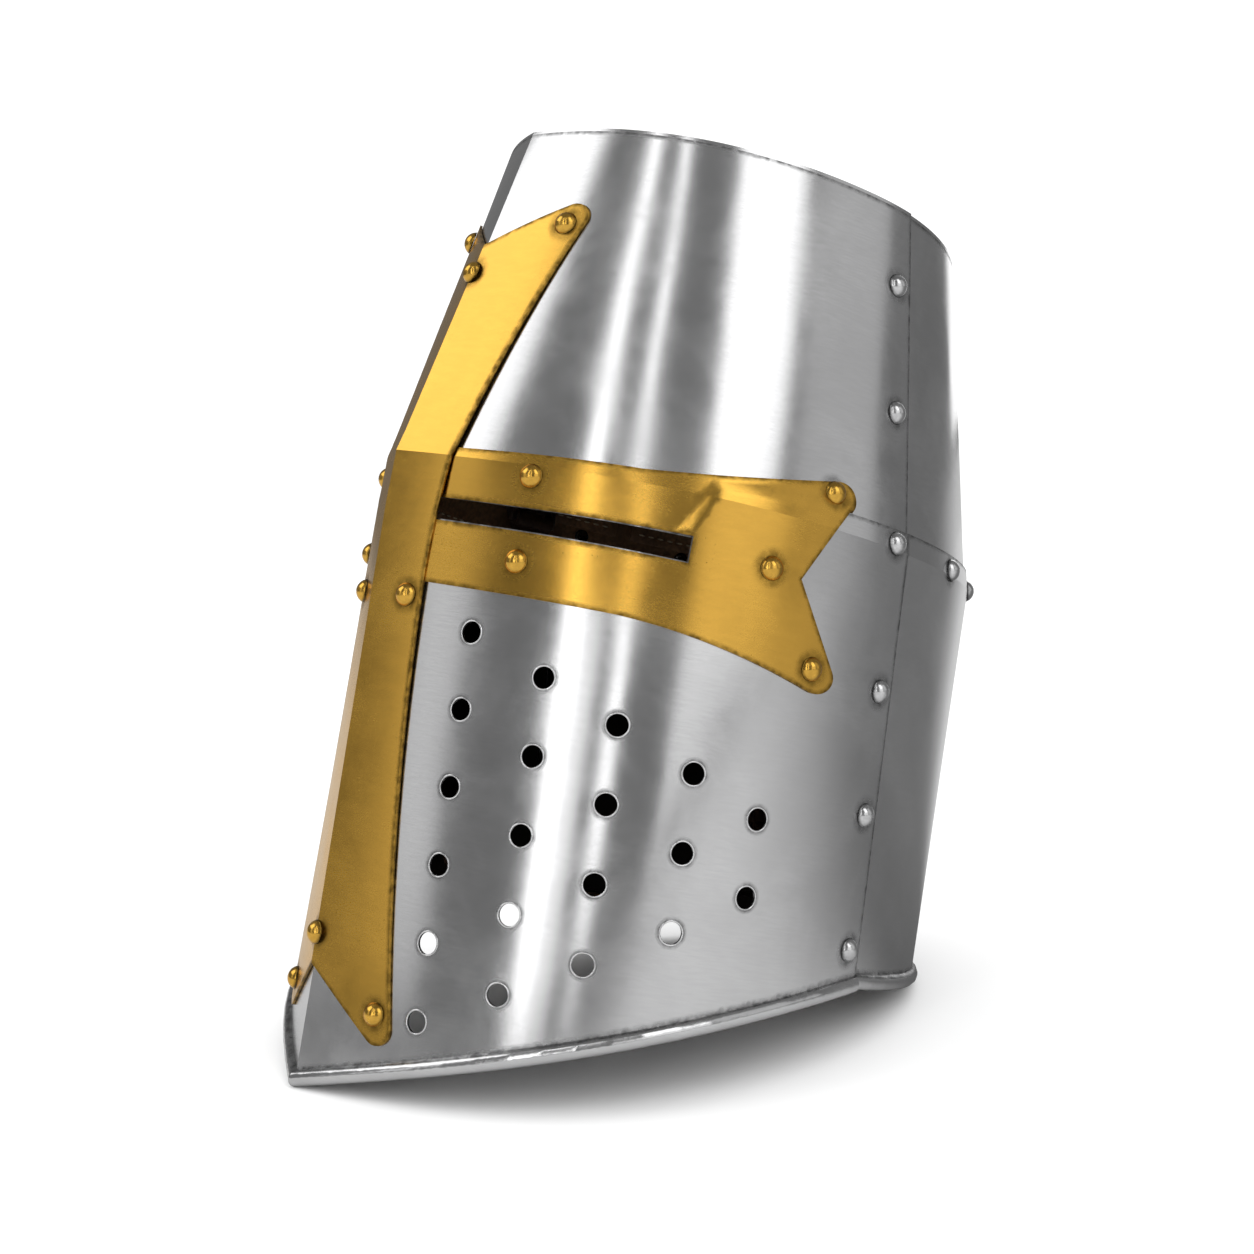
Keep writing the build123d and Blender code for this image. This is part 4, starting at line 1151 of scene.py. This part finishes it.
def petal_mesh(index):
    """One leather petal: flat on the band, bellied inwards, gathered on the lace."""
    middle = 2 * pi * index / PETAL_COUNT
    levels = np.concatenate([np.linspace(PETAL_FOOT, PETAL_LEVELS[0], 5)[:-1],
                             np.linspace(PETAL_LEVELS[0], PETAL_LEVELS[2] - 0.6, 30)])
    across = np.linspace(-1, 1, 29)
    rows = []
    for z in levels:
        ring = plan_ring(z, -BAND - PETAL / 2)
        reach = np.linalg.norm(on_ring(np.array([middle]), ring)[0] - [0, LACE_BACK])
        span = pi / PETAL_COUNT - np.arcsin(PETAL_SLOT / 2 / reach)
        angles = middle + across * span
        places = on_ring(angles, ring)
        gather = np.clip((z - GATHER_LEVELS[0]) / (GATHER_LEVELS[1] - GATHER_LEVELS[0]), 0, 1) ** 2
        ripple = GATHER_DEPTH * gather * np.cos(across * pi * 4)
        sag = SAG_DEPTH * np.clip(1 - abs(z - SAG_LEVEL) / SAG_REACH, 0, 1) * (across ** 2 - 0.4)
        out = (places - [0, LACE_BACK]) / np.linalg.norm(places - [0, LACE_BACK], axis=1)[:, None]
        lift = (ripple - sag)[:, None]
        rows.append(np.column_stack([places + out * lift, np.full(len(across), z)]))
    sheet = grid_mesh("petal_sheet", to_room(np.array(rows)))
    return shaped("petal", sheet, [
        ("SOLIDIFY", {"thickness": PETAL * MM, "offset": 0.0}),
        ("BEVEL", {"width": 0.00045, "segments": 2, "limit_method": "ANGLE", "angle_limit": radians(50)}),
    ])


def hem_ring(angle, radius, around):
    """Helm points of one ring round the lace, at an angle from the keel."""
    out = LACE_RING + radius * np.cos(around)
    return np.column_stack([out * sin(angle), LACE_BACK - out * cos(angle),
                            PETAL_LEVELS[2] + radius * np.sin(around)])


def sleeve_mesh(index):
    """The hem of one petal, turned over the lace and drawn into small folds."""
    middle = 2 * pi * index / PETAL_COUNT
    span = pi / PETAL_COUNT - np.arcsin(PETAL_SLOT / 2 / LACE_RING)
    around = np.linspace(0, 2 * pi, 20, endpoint=False)
    bore = LACE + 0.3
    rows = [hem_ring(middle + u * span, bore + PETAL - 0.35 + 0.3 * cos(u * pi * 4), around)
            for u in np.linspace(-1, 1, 41)]
    rows += [hem_ring(middle + u * span, bore, around) for u in np.linspace(1, -1, 9)]
    return grid_mesh("sleeve", to_room(np.array(rows)), wrap_rows=True, wrap_columns=True)


def band_mesh():
    """The liner's band: a thick strip with rounded edges."""
    low, top = BAND_LEVELS
    edge = 0.9
    profile = [(-edge, low), (-0.3, low + 0.25), (0, low + edge), (0, top - edge), (-0.3, top - 0.25),
               (-edge, top), (edge - BAND, top), (0.3 - BAND, top - 0.25), (-BAND, top - edge),
               (-BAND, 8.0), (-BAND, 2.0), (-BAND, -4.0), (-BAND, low + edge), (0.3 - BAND, low + 0.25),
               (edge - BAND, low)]
    s = np.linspace(0, 2, 121)
    rows = []
    for d, z in profile:
        z_all, d_all = np.full(len(s), z), np.full(len(s), d)
        half = skin_xy(s, z_all, d_all, z_all > 0)
        whole = np.vstack([half, (half * [-1, 1])[::-1][1:-1]])
        rows.append(np.column_stack([whole, np.full(len(whole), z)]))
    return grid_mesh("band", to_room(np.array(rows)), wrap_rows=True, wrap_columns=True)


def lace_mesh():
    """A three-strand twisted cord that runs round inside the hems."""
    along_ring = np.linspace(0, 2 * pi, 360, endpoint=False)
    around = np.linspace(0, 2 * pi, 15, endpoint=False)
    a, b = np.meshgrid(along_ring, around, indexing="ij")
    radius = LACE * (0.84 + 0.16 * np.cos(3 * (b - 14 * a)))
    out = LACE_RING + radius * np.cos(b)
    height = PETAL_LEVELS[2] + radius * np.sin(b)
    places = np.stack([out * np.sin(a), LACE_BACK - out * np.cos(a), height], -1)
    return grid_mesh("lace", to_room(places), wrap_rows=True, wrap_columns=True)


def stitch_rows():
    """Stitches of the liner: round the band's foot, and two rows through each petal's skirt."""
    pitch = leather().stitch_pitch / MM
    rows = []
    for level, d, whole in STITCH_LINES:
        ring = plan_ring(level, d)
        fine = np.linspace(0, 2 * pi, 2000, endpoint=False)
        places = on_ring(fine, ring)
        steps = np.concatenate([[0], np.cumsum(np.linalg.norm(np.diff(places, axis=0), axis=1))])
        for length in np.arange(0, steps[-1], pitch):
            angle = np.interp(length, steps, fine)
            spot, beyond = on_ring(np.array([angle, angle + 0.002]), ring)
            off_slot = abs((angle / (2 * pi / PETAL_COUNT) + 0.5) % 1 - 0.5)
            gap = abs(off_slot - 0.5) * 2 * pi / PETAL_COUNT * np.linalg.norm(spot - [0, LACE_BACK])
            if not whole and gap < PETAL_SLOT / 2 + 2.5:
                continue
            heading = np.append(beyond - spot, 0)
            heading /= np.linalg.norm(heading)
            inwards = np.cross(heading, [0, 0, 1])
            if inwards[:2] @ (np.array([0, LACE_BACK]) - spot) < 0:
                inwards = -inwards
            rows.append((to_room(np.append(spot, level)), TURN @ inwards, 0.0, TURN @ heading))
    return rows


def stitch_shape():
    """One stitch that shows: a short round-ended thread lying on the leather."""
    sizes = leather()
    r, half = sizes.stitch_radius, sizes.stitch_length / 2
    work = bmesh.new()
    bmesh.ops.create_uvsphere(work, u_segments=8, v_segments=6, radius=r)
    for vertex in work.verts:
        vertex.co = Vector((vertex.co.z * half / r, vertex.co.y, vertex.co.x * 0.8))
    bmesh.ops.recalc_face_normals(work, faces=work.faces)
    return hidden_object("stitch", smooth(kept(work, "stitch")))


class HELM_OT_liner(bpy.types.Operator):
    """Sew the leather liner"""
    bl_idname = "helm.liner"
    bl_label = "Liner"

    def execute(self, context):
        add_piece("liner_band_sewn", joined("liner_band_sewn", [band_mesh()]), "helm", "liner_hide",
                  "liner_leather", ("liner_band",))
        petals = [make(index) for index in range(PETAL_COUNT) for make in (petal_mesh, sleeve_mesh)]
        add_piece("liner_petals_sewn", joined("liner_petals_sewn", petals), "helm", "liner_hide",
                  "liner_leather", ("liner_petals",))
        add_piece("liner_lace_twisted", joined("liner_lace_twisted", [lace_mesh()]), "helm", "linen",
                  "lace", ("liner_lace",))
        stitches = grow("liner_stitches", points_mesh("liner_stitch_points", stitch_rows()),
                        copies_tree("liner_stitching"),
                        {"Shape": stitch_shape(), "Material": finish("linen")})
        add_piece("liner_stitches", stitches, "helm", "linen", "lace")
        return {"FINISHED"}


# Chin straps

def leather_copy(node, name, body, edge):
    """A strap's own form with its cut edges rounded over."""
    work = merged(node)
    bmesh.ops.dissolve_limit(work, angle_limit=radians(1.0), verts=work.verts, edges=work.edges)
    rounded = shaped(name, kept(work, name), [
        ("BEVEL", {"width": edge, "segments": 3, "limit_method": "ANGLE", "angle_limit": radians(40)}),
        ("WEIGHTED_NORMAL", {"keep_sharp": False}),
    ])
    return add_piece(name, smooth(rounded), body, "strap_hide", "strap_leather", (node,))


class HELM_OT_fittings(bpy.types.Operator):
    """Finish the strap loops, the straps and the buckle"""
    bl_idname = "helm.fittings"
    bl_label = "Straps and buckle"

    def execute(self, context):
        blacken("left_strap_loop", "right_strap_loop", "buckle_frame", "buckle_tongue")
        leather_copy("left_chin_strap", "left_strap_leather", "left_strap", 0.0004)
        leather_copy("right_chin_strap", "right_strap_leather", "right_strap", 0.0004)
        leather_copy("strap_keeper", "keeper_leather", "left_strap", 0.0003)
        return {"FINISHED"}


# Studio

def lay_floor(look):
    """The pale floor. Metal mirrors it grey, and darker towards the helm's back, as in the photo."""
    work = bmesh.new()
    bmesh.ops.create_circle(work, cap_ends=True, segments=96, radius=look.floor_radius)
    floor = kept(work, "floor")
    piece = bpy.data.objects.new("floor", floor)
    bpy.context.scene.collection.objects.link(piece)
    paint = Recipe("floor_paint")
    place = paint.node("TexCoord").outputs["Object"]
    pale = paint.blend(paint.noise(place, 3.0), tone(look.floor_colour, 0.99), look.floor_colour)
    split = paint.node("SeparateXYZ", Vector=place)
    forward = paint.math("MULTIPLY", split.outputs["Y"], -1.0)
    turn = paint.math("ARCTAN2", split.outputs["X"], forward)
    bearing = paint.math("FLOORED_MODULO", turn, 2 * pi)
    falloff = paint.math("MULTIPLY", paint.spread(bearing, radians(105), radians(150)),
                         paint.spread(bearing, radians(180), radians(205), 1.0, 0.0))
    in_metal = paint.blend(falloff, (0.5, 0.5, 0.5), (0.14, 0.14, 0.14))
    mirrored = paint.node("LightPath").outputs["Is Glossy Ray"]
    colour = paint.blend(mirrored, pale, in_metal)
    paint.surface(Base_Color=colour, Roughness=0.9, Specular_IOR_Level=0.0)
    floor.materials.append(paint.material)


def light_room(look):
    """Even white light from all round, weaker where metal mirrors it."""
    world = bpy.data.worlds.new("studio")
    world.use_nodes = True
    bpy.context.scene.world = world
    nodes, links = world.node_tree.nodes, world.node_tree.links
    background = nodes["Background"]
    path = nodes.new("ShaderNodeLightPath")
    level = nodes.new("ShaderNodeMapRange")
    level.inputs["To Min"].default_value = look.room_light
    level.inputs["To Max"].default_value = look.room_in_metal
    links.new(path.outputs["Is Glossy Ray"], level.inputs["Value"])
    links.new(level.outputs["Result"], background.inputs["Strength"])
    background.inputs["Color"].default_value = (1, 1, 1, 1)


def hang_softbox(name, bearing, width, heights, brightness):
    """One rectangular light that faces the helm, seen in its metal but not by the camera."""
    a = radians(bearing)
    low, high = [BOX_DISTANCE * np.tan(radians(height)) for height in heights]
    tall = high - low
    wide = 2 * BOX_DISTANCE * np.tan(radians(width / 2))
    light = bpy.data.lights.new(name, "AREA")
    light.shape = "RECTANGLE"
    light.size, light.size_y = wide, tall
    light.energy = brightness * pi * wide * tall
    lamp = bpy.data.objects.new(name, light)
    place = Vector((BOX_DISTANCE * sin(a), -BOX_DISTANCE * cos(a), BOX_LEVEL + (low + high) / 2))
    lamp.matrix_world = Matrix.Translation(place) @ Vector(
        (-sin(a), cos(a), 0)).to_track_quat("-Z", "Y").to_matrix().to_4x4()
    lamp.visible_camera = False
    bpy.context.scene.collection.objects.link(lamp)


def place_camera(look):
    """The photo's camera."""
    camera = bpy.data.cameras.new("photo_camera")
    camera.sensor_width = 36.0
    camera.lens = look.lens
    eye = bpy.data.objects.new("photo_camera", camera)
    right, down, ahead = (TURN @ np.array(row) for row in (CAMERA_RIGHT, CAMERA_DOWN, CAMERA_AHEAD))
    place = to_room(CAMERA_PLACE)
    eye.matrix_world = Matrix((
        (right[0], -down[0], -ahead[0], place[0]),
        (right[1], -down[1], -ahead[1], place[1]),
        (right[2], -down[2], -ahead[2], place[2]),
        (0, 0, 0, 1)))
    bpy.context.scene.collection.objects.link(eye)
    bpy.context.scene.camera = eye


class HELM_OT_stage(bpy.types.Operator):
    """Build the floor, the lights and the camera"""
    bl_idname = "helm.stage"
    bl_label = "Studio"

    def execute(self, context):
        look = studio()
        lay_floor(look)
        light_room(look)
        for box in SOFTBOXES:
            hang_softbox(*box)
        place_camera(look)
        context.scene.view_settings.view_transform = "Standard"
        return {"FINISHED"}


class HELM_PT_panel(bpy.types.Panel):
    """Buttons for each part of the helm"""
    bl_idname = "HELM_PT_panel"
    bl_label = "Great helm"
    bl_space_type = "VIEW_3D"
    bl_region_type = "UI"
    bl_category = "Great helm"

    def draw(self, context):
        for operator in OPERATORS:
            self.layout.operator(operator.bl_idname)
        for group in (finish_props(), hardware(), leather(), studio()):
            box = self.layout.box()
            for name in group.__annotations__:
                box.prop(group, name)


GROUPS = {
    "helm_finish": HelmFinish,
    "helm_hardware": HelmHardware,
    "helm_leather": HelmLeather,
    "helm_studio": HelmStudio,
}
OPERATORS = (HELM_OT_stage, HELM_OT_plates, HELM_OT_cross, HELM_OT_rivets, HELM_OT_breaths,
             HELM_OT_liner, HELM_OT_fittings)


def register():
    for name, group in GROUPS.items():
        bpy.utils.register_class(group)
        setattr(bpy.types.Scene, name, bpy.props.PointerProperty(type=group))
    for one in (*OPERATORS, HELM_PT_panel):
        bpy.utils.register_class(one)


def unregister():
    for one in reversed((*OPERATORS, HELM_PT_panel)):
        bpy.utils.unregister_class(one)
    for name, group in reversed(GROUPS.items()):
        delattr(bpy.types.Scene, name)
        bpy.utils.unregister_class(group)


def main():
    register()
    for operator in OPERATORS:
        family, name = operator.bl_idname.split(".")
        getattr(getattr(bpy.ops, family), name)()


if __name__ == "__main__":
    main()
